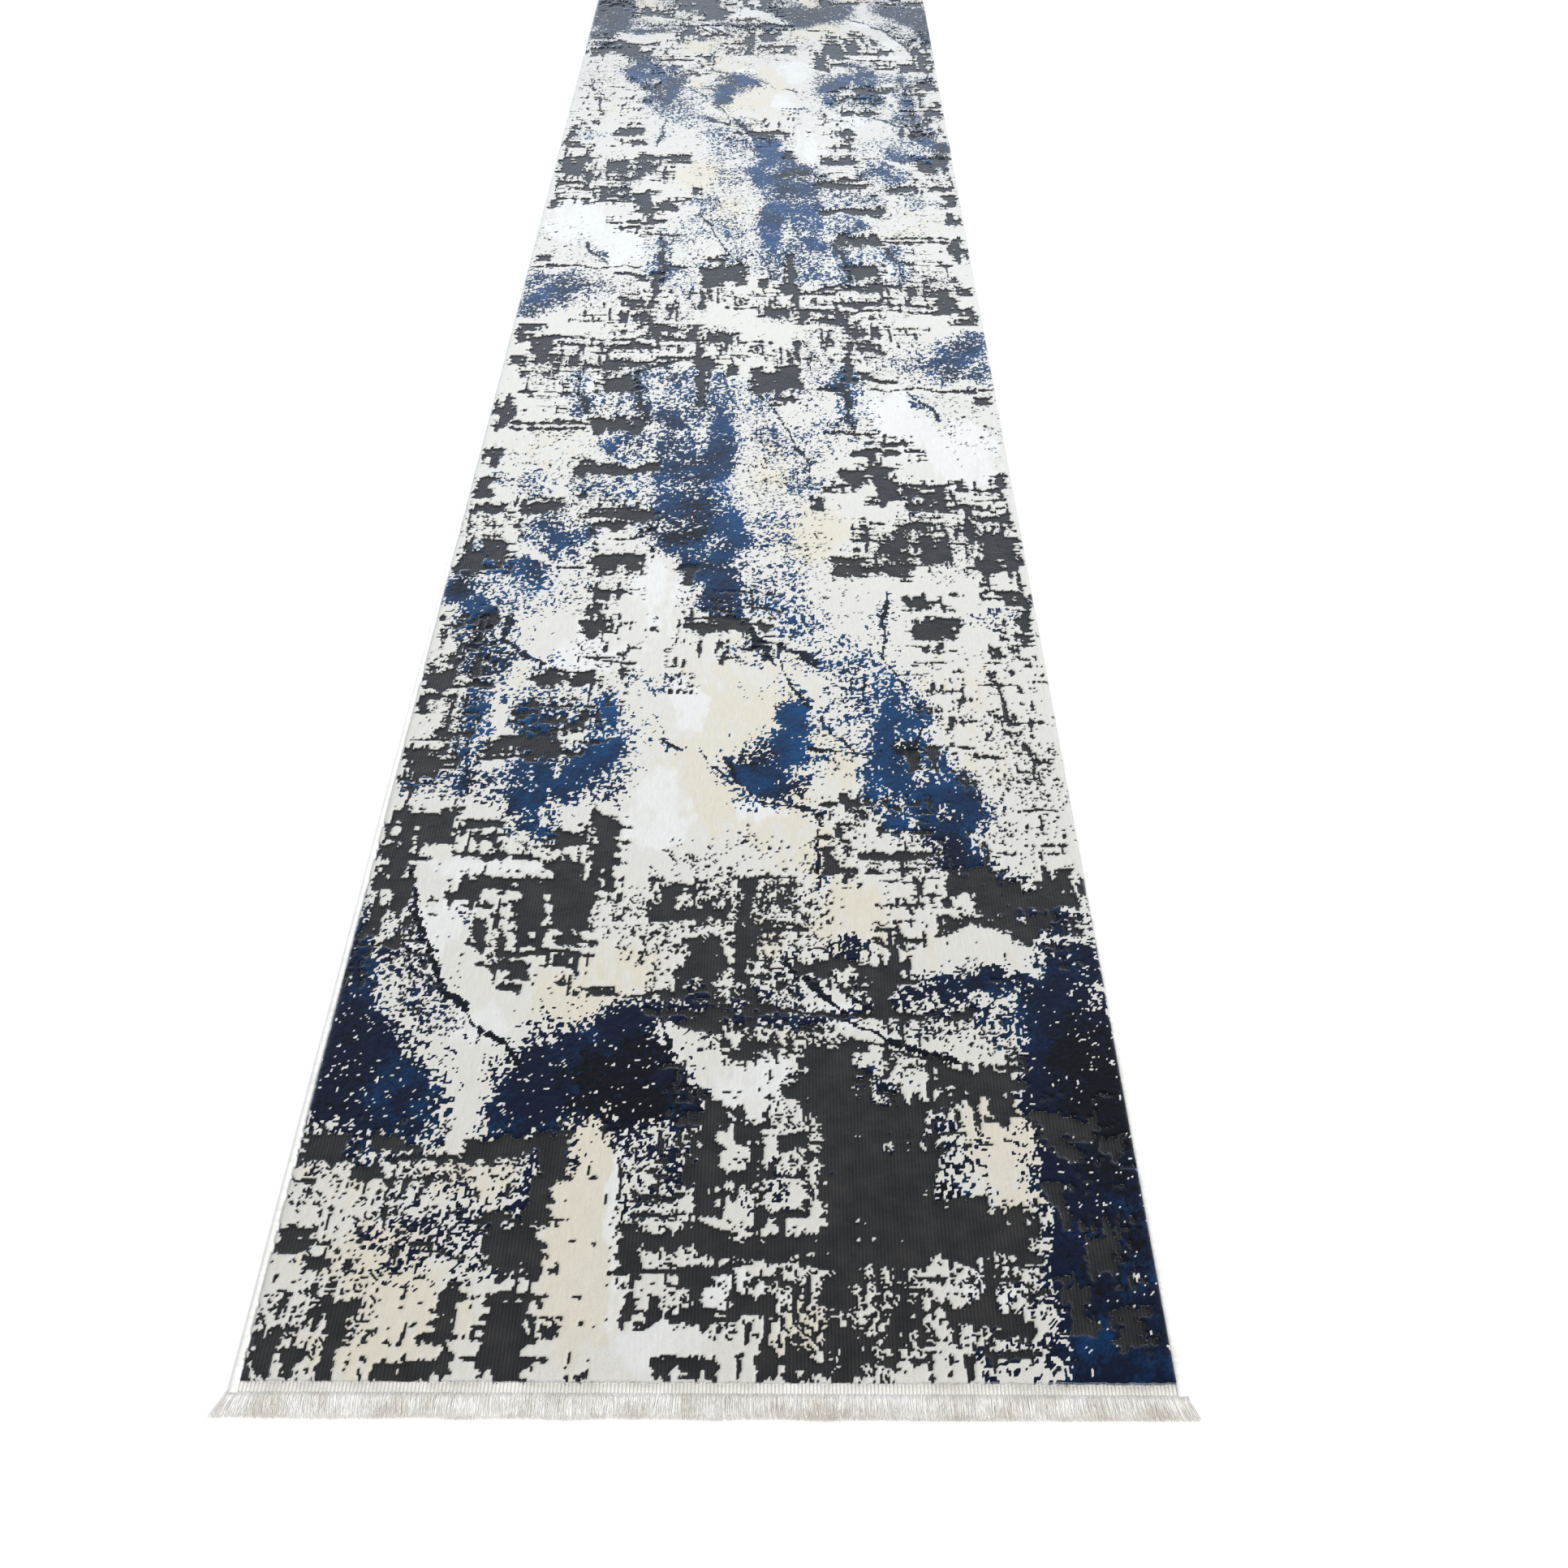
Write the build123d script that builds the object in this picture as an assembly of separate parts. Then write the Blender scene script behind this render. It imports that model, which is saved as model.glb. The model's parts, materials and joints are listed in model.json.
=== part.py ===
from build123d import *
import math
import os

# Runner rug with a carved high-low pile, serged long edges and fringed ends.
# X runs across the rug, Y along it and Z up. The back lies on Z = 0.

# Plan sizes
rug_width = 800.0  # over the serged edges
pile_width = 784.0
pile_length = 3476.0
band_length = 12.0  # flat-woven band at each end
fringe_length = 20.0
total_length = pile_length + 2 * (band_length + fringe_length)

# Layers, from the floor up
coat_thickness = 0.4
ground_thickness = 2.0
low_pile_top = 6.2  # top of the charcoal pile
high_pile_top = 9.5  # top of the raised light and blue pile
ground_bottom = coat_thickness
ground_top = ground_bottom + ground_thickness

# Serged edge
selvedge_half_width = 396.5  # the thinned selvedge that the yarn wraps
selvedge_bottom = 1.0
selvedge_top = 2.0
serging_height = 5.0
serging_round = 2.2

# End band, its ribs, its stitches and the fringe
ground_under_band = 9.0  # length of ground weave below each band
band_thickness = 1.0
rib_pitch = 3.2
rib_height = 0.4
stitch_pitch = 8.0
stitch_length = 5.0
stitch_width = 0.8
stitch_height = 0.5
lock_count = 64
lock_gap = 0.5
lock_thickness = 1.4

# The rug folds inwards in thirds. Each fold turns about an axis just above the pile.
fold_y = total_length / 6
fold_gap = 0.6  # clearance between two thirds at a fold
layer_gap = 1.0  # clearance between folded layers
fold_angle = 179.9  # a fold stops just short of flat
end_rise = total_length / 3 * math.sin(math.radians(180 - fold_angle))
far_fold_z = high_pile_top + layer_gap / 2
near_fold_z = far_fold_z + (end_rise + layer_gap + high_pile_top) / 2

# Charcoal areas of the near half, where the pile is cut low: x0, x1, y0, y1.
# The design is the same when the rug is turned half round.
charcoal_areas = [
    (80, 200, -1650, -1460),
    (-10, 80, -1600, -1530),
    (200, 290, -1630, -1580),
    (200, 290, -1490, -1430),
    (90, 200, -1350, -1310),
    (-210, -150, -1650, -1600),
    (-170, -145, -1600, -1510),
    (-260, -170, -1535, -1515),
    (-200, -150, -1725, -1670),
    (-330, -310, -1725, -1660),
    (-220, -160, -1290, -1200),
    (-380, -340, -1250, -1200),
    (-80, 30, -1260, -1240),
    (260, 340, -1270, -1220),
    (-380, -340, -1540, -1510),
    (-380, -310, -1170, -1100),
    (-160, -120, -1210, -1105),
    (-290, -210, -1010, -980),
    (-380, -320, -1040, -1000),
    (-240, -170, -895, -860),
    (-380, -300, -895, -865),
    (-190, -130, -670, -630),
    (130, 240, -670, -640),
    (320, 380, -730, -620),
    (220, 290, -785, -750),
    (-70, 0, -780, -755),
    (-380, -320, -660, -620),
    (140, 200, -1175, -1155),
    (-380, -250, -530, -500),
    (-200, -120, -560, -510),
    (-240, -150, -320, -290),
    (-240, -130, -430, -410),
    (130, 240, -470, -410),
    (300, 380, -580, -500),
    (20, 85, -200, -140),
    (-230, -170, -210, -160),
    (-80, -60, -270, -100),
    (-350, -310, -120, -10),
    (155, 175, -170, -60),
    (-300, -90, -60, -45),
    (-300, -270, -130, -100),
]

thirds = [
    ("near", -total_length / 2, -fold_y - fold_gap / 2),
    ("middle", -fold_y + fold_gap / 2, fold_y - fold_gap / 2),
    ("far", fold_y + fold_gap / 2, total_length / 2),
]
pile_end = pile_length / 2
band_end = pile_end + band_length
ground_end = pile_end + ground_under_band

os.makedirs("parts", exist_ok=True)


def block(x0, x1, y0, y1, z0, z1):
    """A plain box given by its six faces."""
    box = Box(x1 - x0, y1 - y0, z1 - z0, align=(Align.MIN, Align.MIN, Align.MIN))
    return Pos(x0, y0, z0) * box


def between(y0, y1, low, high):
    """The part of the stretch y0 to y1 that lies between low and high, or None."""
    a = max(y0, low)
    b = min(y1, high)
    if b - a < 1.0:
        return None
    return a, b


def side_profile(points, x0, x1):
    """A solid with the Y-Z outline given by points, from x0 to x1."""
    face = make_face(Polyline(*[(0, y, z) for y, z in points], close=True))
    return extrude(Pos(x0, 0, 0) * face, amount=x1 - x0, dir=(1, 0, 0))


def save(name, shape):
    shape.label = name
    export_step(shape, f"parts/{name}.step")


def size_coat(y0, y1):
    half = pile_width / 2 - 1.0
    return block(-half, half, y0, y1, 0, coat_thickness)


def ground_weave(y0, y1):
    """The backing cloth, thinned to a selvedge along both edges for the serging."""
    half = pile_width / 2
    cloth = block(-half, half, y0, y1, ground_bottom, ground_top)
    tongue = block(-selvedge_half_width, selvedge_half_width, y0, y1, selvedge_bottom, selvedge_top)
    return cloth + tongue


def charcoal_blocks(y0, y1, z1):
    """Boxes over the charcoal areas of both halves that fall between y0 and y1."""
    blocks = []
    for ax0, ax1, ay0, ay1 in charcoal_areas:
        for turned in (False, True):
            area = (-ax1, -ax0, -ay1, -ay0) if turned else (ax0, ax1, ay0, ay1)
            span = between(area[2], area[3], y0, y1)
            if span:
                blocks.append(block(area[0], area[1], span[0], span[1], ground_top, z1))
    return blocks


def pile(y0, y1):
    """The low charcoal tufts, and the raised tufts that fill the rest of the field."""
    half = pile_width / 2
    field = block(-half, half, y0, y1, ground_top, high_pile_top)
    cutters = charcoal_blocks(y0, y1, high_pile_top)
    raised = field - cutters
    low_blocks = charcoal_blocks(y0, y1, low_pile_top)
    low = low_blocks[0] + low_blocks[1:]
    return low, raised


def serging(y0, y1, side):
    """A bead of yarn wrapped round the selvedge: a rounded bar with a slot for the cloth."""
    inner = pile_width / 2
    outer = rug_width / 2
    bar = block(inner, outer, y0, y1, 0, serging_height)
    outside = bar.edges().filter_by(Axis.Y).group_by(Axis.X)[-1]
    bar = fillet(outside, serging_round)
    slot = block(inner - 1, selvedge_half_width, y0 - 1, y1 + 1, selvedge_bottom, selvedge_top)
    bead = bar - slot
    if side < 0:
        bead = mirror(bead, about=Plane.YZ)
    return bead


def end_band(side):
    """The ribbed flat-woven band, lying on the end of the ground weave."""
    half = pile_width / 2
    ribs = int((2 * half) / rib_pitch)
    left = -ribs * rib_pitch / 2
    base = ground_top
    top = base + band_thickness
    points = [(-half, 0, base), (-half, 0, top)]
    for i in range(ribs):
        x = left + i * rib_pitch
        points.append((x + 0.25 * rib_pitch, 0, top))
        points.append((x + 0.4 * rib_pitch, 0, top + rib_height))
        points.append((x + 0.75 * rib_pitch, 0, top + rib_height))
        points.append((x + 0.9 * rib_pitch, 0, top))
    points.append((half, 0, top))
    points.append((half, 0, base))
    face = make_face(Polyline(*points, close=True))
    band = extrude(Pos(0, pile_end, 0) * face, amount=band_length, dir=(0, 1, 0))
    if side < 0:
        band = mirror(band, about=Plane.XZ)
    return band


def end_stitching(side):
    """One row of stitches that holds the band down on the ground weave."""
    count = int((pile_width - 20) / stitch_pitch)
    z0 = ground_top + band_thickness + rib_height
    y = side * (pile_end + 3.0)
    half = stitch_width / 2
    stitches = []
    for i in range(count):
        x = (i - (count - 1) / 2) * stitch_pitch
        x0 = x - stitch_length / 2
        stitches.append(block(x0, x0 + stitch_length, y - half, y + half, z0, z0 + stitch_height))
    return Compound(children=stitches)


def fringe(side):
    """A row of yarn locks, from the outer edge of the band down to the floor."""
    y0 = band_end
    y1 = band_end + fringe_length
    z = ground_top + band_thickness
    outline = [
        (y0, z - lock_thickness),
        (y0 + 6, 0.6),
        (y0 + 9, 0),
        (y1, 0),
        (y1, 0.9),
        (y0 + 10, lock_thickness + 0.4),
        (y0 + 6, lock_thickness + 1.2),
        (y0, z),
    ]
    pitch = rug_width / lock_count
    lock = side_profile(outline, -pitch / 2 + lock_gap / 2, pitch / 2 - lock_gap / 2)
    if side < 0:
        lock = mirror(lock, about=Plane.XZ)
    locks = [Pos((i - (lock_count - 1) / 2) * pitch, 0, 0) * lock for i in range(lock_count)]
    return Compound(children=locks)


for name, y0, y1 in thirds:
    ground_span = between(y0, y1, -ground_end, ground_end)
    pile_span = between(y0, y1, -pile_end, pile_end)
    edge_span = between(y0, y1, -band_end, band_end)
    save(f"{name}_size_coat", size_coat(*ground_span))
    save(f"{name}_ground_weave", ground_weave(*ground_span))
    low_pile, raised_pile = pile(*pile_span)
    save(f"{name}_charcoal_low_pile", low_pile)
    save(f"{name}_raised_pile", raised_pile)
    save(f"{name}_left_serging", serging(*edge_span, -1))
    save(f"{name}_right_serging", serging(*edge_span, 1))

for name, side in (("near", -1), ("far", 1)):
    save(f"{name}_end_band", end_band(side))
    save(f"{name}_end_stitching", end_stitching(side))
    save(f"{name}_fringe", fringe(side))

print("fold axes: Y", round(fold_y, 2), "Z", round(far_fold_z, 2), "far and", round(near_fold_z, 2), "near")
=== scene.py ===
import bpy
import json
import numpy as np
from math import radians
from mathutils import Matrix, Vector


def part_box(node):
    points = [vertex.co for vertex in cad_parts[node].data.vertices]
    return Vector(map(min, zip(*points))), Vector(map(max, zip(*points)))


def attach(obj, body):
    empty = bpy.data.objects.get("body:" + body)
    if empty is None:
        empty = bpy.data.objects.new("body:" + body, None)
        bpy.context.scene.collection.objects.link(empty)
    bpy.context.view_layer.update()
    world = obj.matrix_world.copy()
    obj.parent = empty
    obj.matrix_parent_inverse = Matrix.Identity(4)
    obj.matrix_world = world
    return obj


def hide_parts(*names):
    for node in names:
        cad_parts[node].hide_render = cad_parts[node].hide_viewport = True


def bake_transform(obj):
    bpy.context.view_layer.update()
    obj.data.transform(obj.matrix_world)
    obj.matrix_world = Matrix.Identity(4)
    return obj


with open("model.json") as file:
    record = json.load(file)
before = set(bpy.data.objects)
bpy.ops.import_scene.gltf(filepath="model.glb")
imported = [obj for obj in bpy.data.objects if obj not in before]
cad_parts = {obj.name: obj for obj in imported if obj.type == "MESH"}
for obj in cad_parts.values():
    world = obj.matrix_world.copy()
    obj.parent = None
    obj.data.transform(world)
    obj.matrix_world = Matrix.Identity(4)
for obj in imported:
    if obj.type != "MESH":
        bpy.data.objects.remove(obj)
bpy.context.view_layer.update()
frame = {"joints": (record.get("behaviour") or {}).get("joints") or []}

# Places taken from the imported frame, in metres
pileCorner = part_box("near_raised_pile")[0]
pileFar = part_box("far_raised_pile")[1]
halfPile = pileFar.x
pileEnd = pileFar.y
groundTop = pileCorner.z
highTop = pileFar.z
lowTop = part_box("near_charcoal_low_pile")[1].z
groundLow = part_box("near_ground_weave")[0]
groundEnd = -groundLow.y
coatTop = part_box("near_size_coat")[1].z
bandEnd = -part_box("near_end_band")[0].y
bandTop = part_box("near_end_band")[1].z
fringeEnd = -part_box("near_fringe")[0].y
beadLow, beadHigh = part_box("near_right_serging")
foldY = max(joint["pos_m"][1] for joint in frame["joints"])
print("frame loaded, pile", round(2 * halfPile, 3), "by", round(2 * pileEnd, 3))

# Meshes
def makePiece(name, points, faceGroups, flatGroups=()):
    # a mesh object from an array of points and groups of faces, each group an array with one face in a row;
    # the groups whose numbers are in flatGroups are shaded flat
    mesh = bpy.data.meshes.new(name)
    mesh.vertices.add(len(points))
    mesh.vertices.foreach_set("co", np.asarray(points, np.float32).ravel())
    sizes = np.concatenate([np.full(len(group), group.shape[1]) for group in faceGroups])
    corners = np.concatenate([group.ravel() for group in faceGroups]).astype(np.int32)
    mesh.loops.add(len(corners))
    mesh.loops.foreach_set("vertex_index", corners)
    mesh.polygons.add(len(sizes))
    mesh.polygons.foreach_set("loop_start", (np.cumsum(sizes) - sizes).astype(np.int32))
    smooth = [np.full(len(group), k not in flatGroups) for k, group in enumerate(faceGroups)]
    mesh.polygons.foreach_set("use_smooth", np.concatenate(smooth))
    mesh.update(calc_edges=True)
    mesh.validate()
    piece = bpy.data.objects.new(name, mesh)
    bpy.context.scene.collection.objects.link(piece)
    return piece

def addColours(piece, name, values):
    # a colour for every point, from an array of three columns
    layer = piece.data.attributes.new(name, "FLOAT_COLOR", "POINT")
    rgba = np.ones((len(values), 4), np.float32)
    rgba[:, :3] = values
    layer.data.foreach_set("color", rgba.ravel())

def addNumbers(piece, name, values):
    # one number for every point
    layer = piece.data.attributes.new(name, "FLOAT", "POINT")
    layer.data.foreach_set("value", np.asarray(values, np.float32).ravel())

def gridFaces(rows, columns, first=0, closeColumns=False):
    # the quads of a grid of points numbered along each row; closeColumns joins the last column to the first
    count = columns if closeColumns else columns - 1
    r, c = np.meshgrid(np.arange(rows - 1), np.arange(count), indexing="ij")
    across = (c + 1) % columns
    a = first + r * columns + c
    b = first + r * columns + across
    return np.stack([a, b, b + columns, a + columns], axis=-1).reshape(-1, 4)

def slabPiece(name, x, y, z, bottom):
    # a closed slab with a height field on one side: the field is the grid x, y, z, its four sides run
    # straight to bottom, and strips as wide as the slab close it there, with one many-sided face at either end
    rows, columns = z.shape
    top = np.stack([x, y, z], axis=-1).reshape(-1, 3)
    index = np.arange(rows * columns).reshape(rows, columns)
    under = {}
    extra = []
    start = rows * columns
    sides = {"first": index[0], "last": index[-1], "left": index[1:-1, 0], "right": index[1:-1, -1]}
    for key, line in sides.items():
        extra.append(top[line] * (1, 1, 0) + (0, 0, bottom))
        under[key] = np.arange(start, start + len(line))
        start += len(line)
    left = np.concatenate([under["first"][:1], under["left"], under["last"][:1]])
    right = np.concatenate([under["first"][-1:], under["right"], under["last"][-1:]])
    def wall(above, below, turn):
        quads = np.stack([above[:-1], below[:-1], below[1:], above[1:]], axis=-1)
        return quads[:, ::-1] if turn else quads
    walls = np.concatenate([
        wall(index[0], under["first"], False), wall(index[-1], under["last"], True),
        wall(index[:, 0], left, True), wall(index[:, -1], right, False),
    ])
    floorStrips = np.stack([left[:-1], left[1:], right[1:], right[:-1]], axis=-1)[1:-1]
    firstCap = np.concatenate([under["first"][::-1], left[1:2], right[1:2]])[None, :]
    lastCap = np.concatenate([under["last"], right[-2:-1], left[-2:-1]])[None, :]
    groups = [walls, floorStrips, firstCap, lastCap, gridFaces(rows, columns)]
    return makePiece(name, np.concatenate([top] + extra), groups, flatGroups=(0, 1, 2, 3))

def tubeBundle(name, lines, radius, sides, squeeze=1.0):
    # many thin closed tubes in one mesh: lines is tubes by steps by 3, each step has a ring of sides points
    # square to the line, made flatter by squeeze, and both ends are closed by a face
    count, steps = lines.shape[:2]
    along = np.gradient(lines, axis=1)
    along /= np.linalg.norm(along, axis=-1, keepdims=True)
    across = np.cross(along, (0.0, 0.0, 1.0))
    across /= np.linalg.norm(across, axis=-1, keepdims=True)
    upward = np.cross(across, along)
    angle = 2 * np.pi * np.arange(sides) / sides
    ring = np.cos(angle)[:, None] * across[:, :, None, :]
    ring = ring + squeeze * np.sin(angle)[:, None] * upward[:, :, None, :]
    points = lines[:, :, None, :] + radius[:, :, None, None] * ring
    base = (np.arange(count) * steps * sides)[:, None, None]
    quads = (gridFaces(steps, sides, closeColumns=True)[None, :, ::-1] + base).reshape(-1, 4)
    ends = np.arange(sides)
    startCaps = ends[None] + base[:, 0]
    endCaps = ends[None, ::-1] + (steps - 1) * sides + base[:, 0]
    return makePiece(name, points.reshape(-1, 3), [quads, startCaps, endCaps])

fold = {
    "bend": 0.020,  # length of rug that takes up one fold
    "fineReach": 0.014,  # how far on either side of a fold the rows lie close together
    "fineStep": 0.002,
}

def rideThird(piece, y0, y1):
    # a piece is attached to the body of its third; if a fold crosses it, its placement is only baked into its
    # points, and the two thirds on either side of the fold are returned
    for side, body in ((-1, "near_third"), (1, "far_third")):
        if y0 < side * foldY < y1:
            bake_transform(piece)
            return [body, "middle_third"]
    middle = (y0 + y1) / 2
    body = "middle_third" if abs(middle) < foldY else ("near_third" if middle < 0 else "far_third")
    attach(piece, body)
    return [body]

def replaceNodes(piece, bodies, *endings):
    # hides the CAD nodes with these endings in the thirds of the given bodies
    thirds = [body.replace("_third", "") for body in bodies]
    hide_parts(*[f"{third}_{ending}" for third in thirds for ending in endings])

# Material helpers
def colour(red, green, blue):
    # a display colour from 0 to 255 turned into the linear colour that a shader takes
    values = np.array([red, green, blue]) / 255
    linear = np.where(values < 0.04045, values / 12.92, ((values + 0.055) / 1.055)**2.4)
    return (float(linear[0]), float(linear[1]), float(linear[2]), 1.0)

def newMaterial(name, roughness, sheen=0.0, sheenRoughness=0.5, sheenTint=(1, 1, 1, 1), specular=0.25):
    material = bpy.data.materials.new(name)
    material.use_nodes = True
    tree = material.node_tree
    shader = tree.nodes["Principled BSDF"]
    shader.inputs["Roughness"].default_value = roughness
    shader.inputs["Sheen Weight"].default_value = sheen
    shader.inputs["Sheen Roughness"].default_value = sheenRoughness
    shader.inputs["Sheen Tint"].default_value = sheenTint
    shader.inputs["Specular IOR Level"].default_value = specular
    return material, tree, shader

def addNode(tree, kind, inputs, **settings):
    # a new node with its settings, and each input linked from a socket or set to a value
    node = tree.nodes.new(kind)
    for key, value in settings.items():
        setattr(node, key, value)
    for key, value in inputs.items():
        if isinstance(value, bpy.types.NodeSocket):
            tree.links.new(value, node.inputs[key])
        else:
            node.inputs[key].default_value = value
    return node

def noiseOf(tree, place, scale, detail=2.0, roughness=0.5):
    # noise from 0 to 1 at a place; a larger scale makes it finer
    inputs = {"Vector": place, "Scale": scale, "Detail": detail, "Roughness": roughness}
    return addNode(tree, "ShaderNodeTexNoise", inputs).outputs["Fac"]

def stretched(tree, place, scale):
    # the place multiplied by a scale for each axis
    return addNode(tree, "ShaderNodeMapping", {"Vector": place, "Scale": scale}).outputs["Vector"]

def mathOf(tree, operation, first, second=0.0, third=0.0):
    # one operation on two or three values
    return addNode(tree, "ShaderNodeMath", {0: first, 1: second, 2: third}, operation=operation).outputs[0]

def rangeOf(tree, value, low, high, toLow=0.0, toHigh=1.0, smooth=False):
    # a value moved from the range low to high into toLow to toHigh, straight or as a smooth step
    kind = "SMOOTHSTEP" if smooth else "LINEAR"
    inputs = {"Value": value, "From Min": low, "From Max": high, "To Min": toLow, "To Max": toHigh}
    return addNode(tree, "ShaderNodeMapRange", inputs, interpolation_type=kind).outputs["Result"]

def mixOf(tree, factor, first, second, blend="MIX"):
    # the first colour at factor 0 and the second at 1, or another blend of the two
    inputs = {0: factor, 6: first, 7: second}
    return addNode(tree, "ShaderNodeMix", inputs, data_type="RGBA", blend_type=blend).outputs[2]

def splitOf(tree, name):
    # the three channels of a colour attribute
    source = addNode(tree, "ShaderNodeAttribute", {}, attribute_name=name).outputs["Color"]
    return addNode(tree, "ShaderNodeSeparateColor", {"Color": source}).outputs

def shaded(tree, base, factor):
    # the base colour made lighter or darker by a factor
    grey = addNode(tree, "ShaderNodeCombineColor", {0: factor, 1: factor, 2: factor}).outputs["Color"]
    return mixOf(tree, 1.0, base, grey, "MULTIPLY")

def finishShader(tree, shader, base, height, depth, strength=1.0):
    # the base colour, and a bump that rises by depth as the height goes from 0 to 1
    tree.links.new(base, shader.inputs["Base Color"])
    inputs = {"Height": height, "Distance": depth, "Strength": strength}
    tree.links.new(addNode(tree, "ShaderNodeBump", inputs).outputs["Normal"], shader.inputs["Normal"])

# The woven design
tuftPitch = 0.00204

def valueNoise(x, y, cellX, cellY, seed):
    # random heights on a lattice of cellX by cellY, joined by smooth bilinear steps
    rng = np.random.default_rng(seed)
    gx = (x - x.min()) / cellX + 0.5
    gy = (y - y.min()) / cellY + 0.5
    ix = np.floor(gx).astype(int)
    iy = np.floor(gy).astype(int)
    lattice = rng.random((iy.max() + 2, ix.max() + 2))
    fx = gx - ix
    fy = gy - iy
    fx = fx * fx * (3 - 2 * fx)
    fy = fy * fy * (3 - 2 * fy)
    low = lattice[iy, ix] * (1 - fx) + lattice[iy, ix + 1] * fx
    high = lattice[iy + 1, ix] * (1 - fx) + lattice[iy + 1, ix + 1] * fx
    return low * (1 - fy) + high * fy

def layeredNoise(x, y, cell, octaves, seed):
    # value noise summed over octaves, each half as large and half as strong
    total = np.zeros_like(x)
    weight = 0.0
    for k in range(octaves):
        total += valueNoise(x, y, cell / 2**k, cell / 2**k, seed + k) / 2**k
        weight += 1 / 2**k
    return total / weight

def evenSpread(field):
    # replaces each value by its rank, so that a threshold of 0.3 takes 30 percent of the cells
    ranks = np.empty(field.size)
    ranks[np.argsort(field, axis=None)] = (np.arange(field.size) + 0.5) / field.size
    return ranks.reshape(field.shape)

def blurOnce(field):
    # the mean of a cell and its four neighbours
    p = np.pad(field, 1, mode="edge")
    return (p[1:-1, 1:-1] * 2 + p[:-2, 1:-1] + p[2:, 1:-1] + p[1:-1, :-2] + p[1:-1, 2:]) / 6

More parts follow.
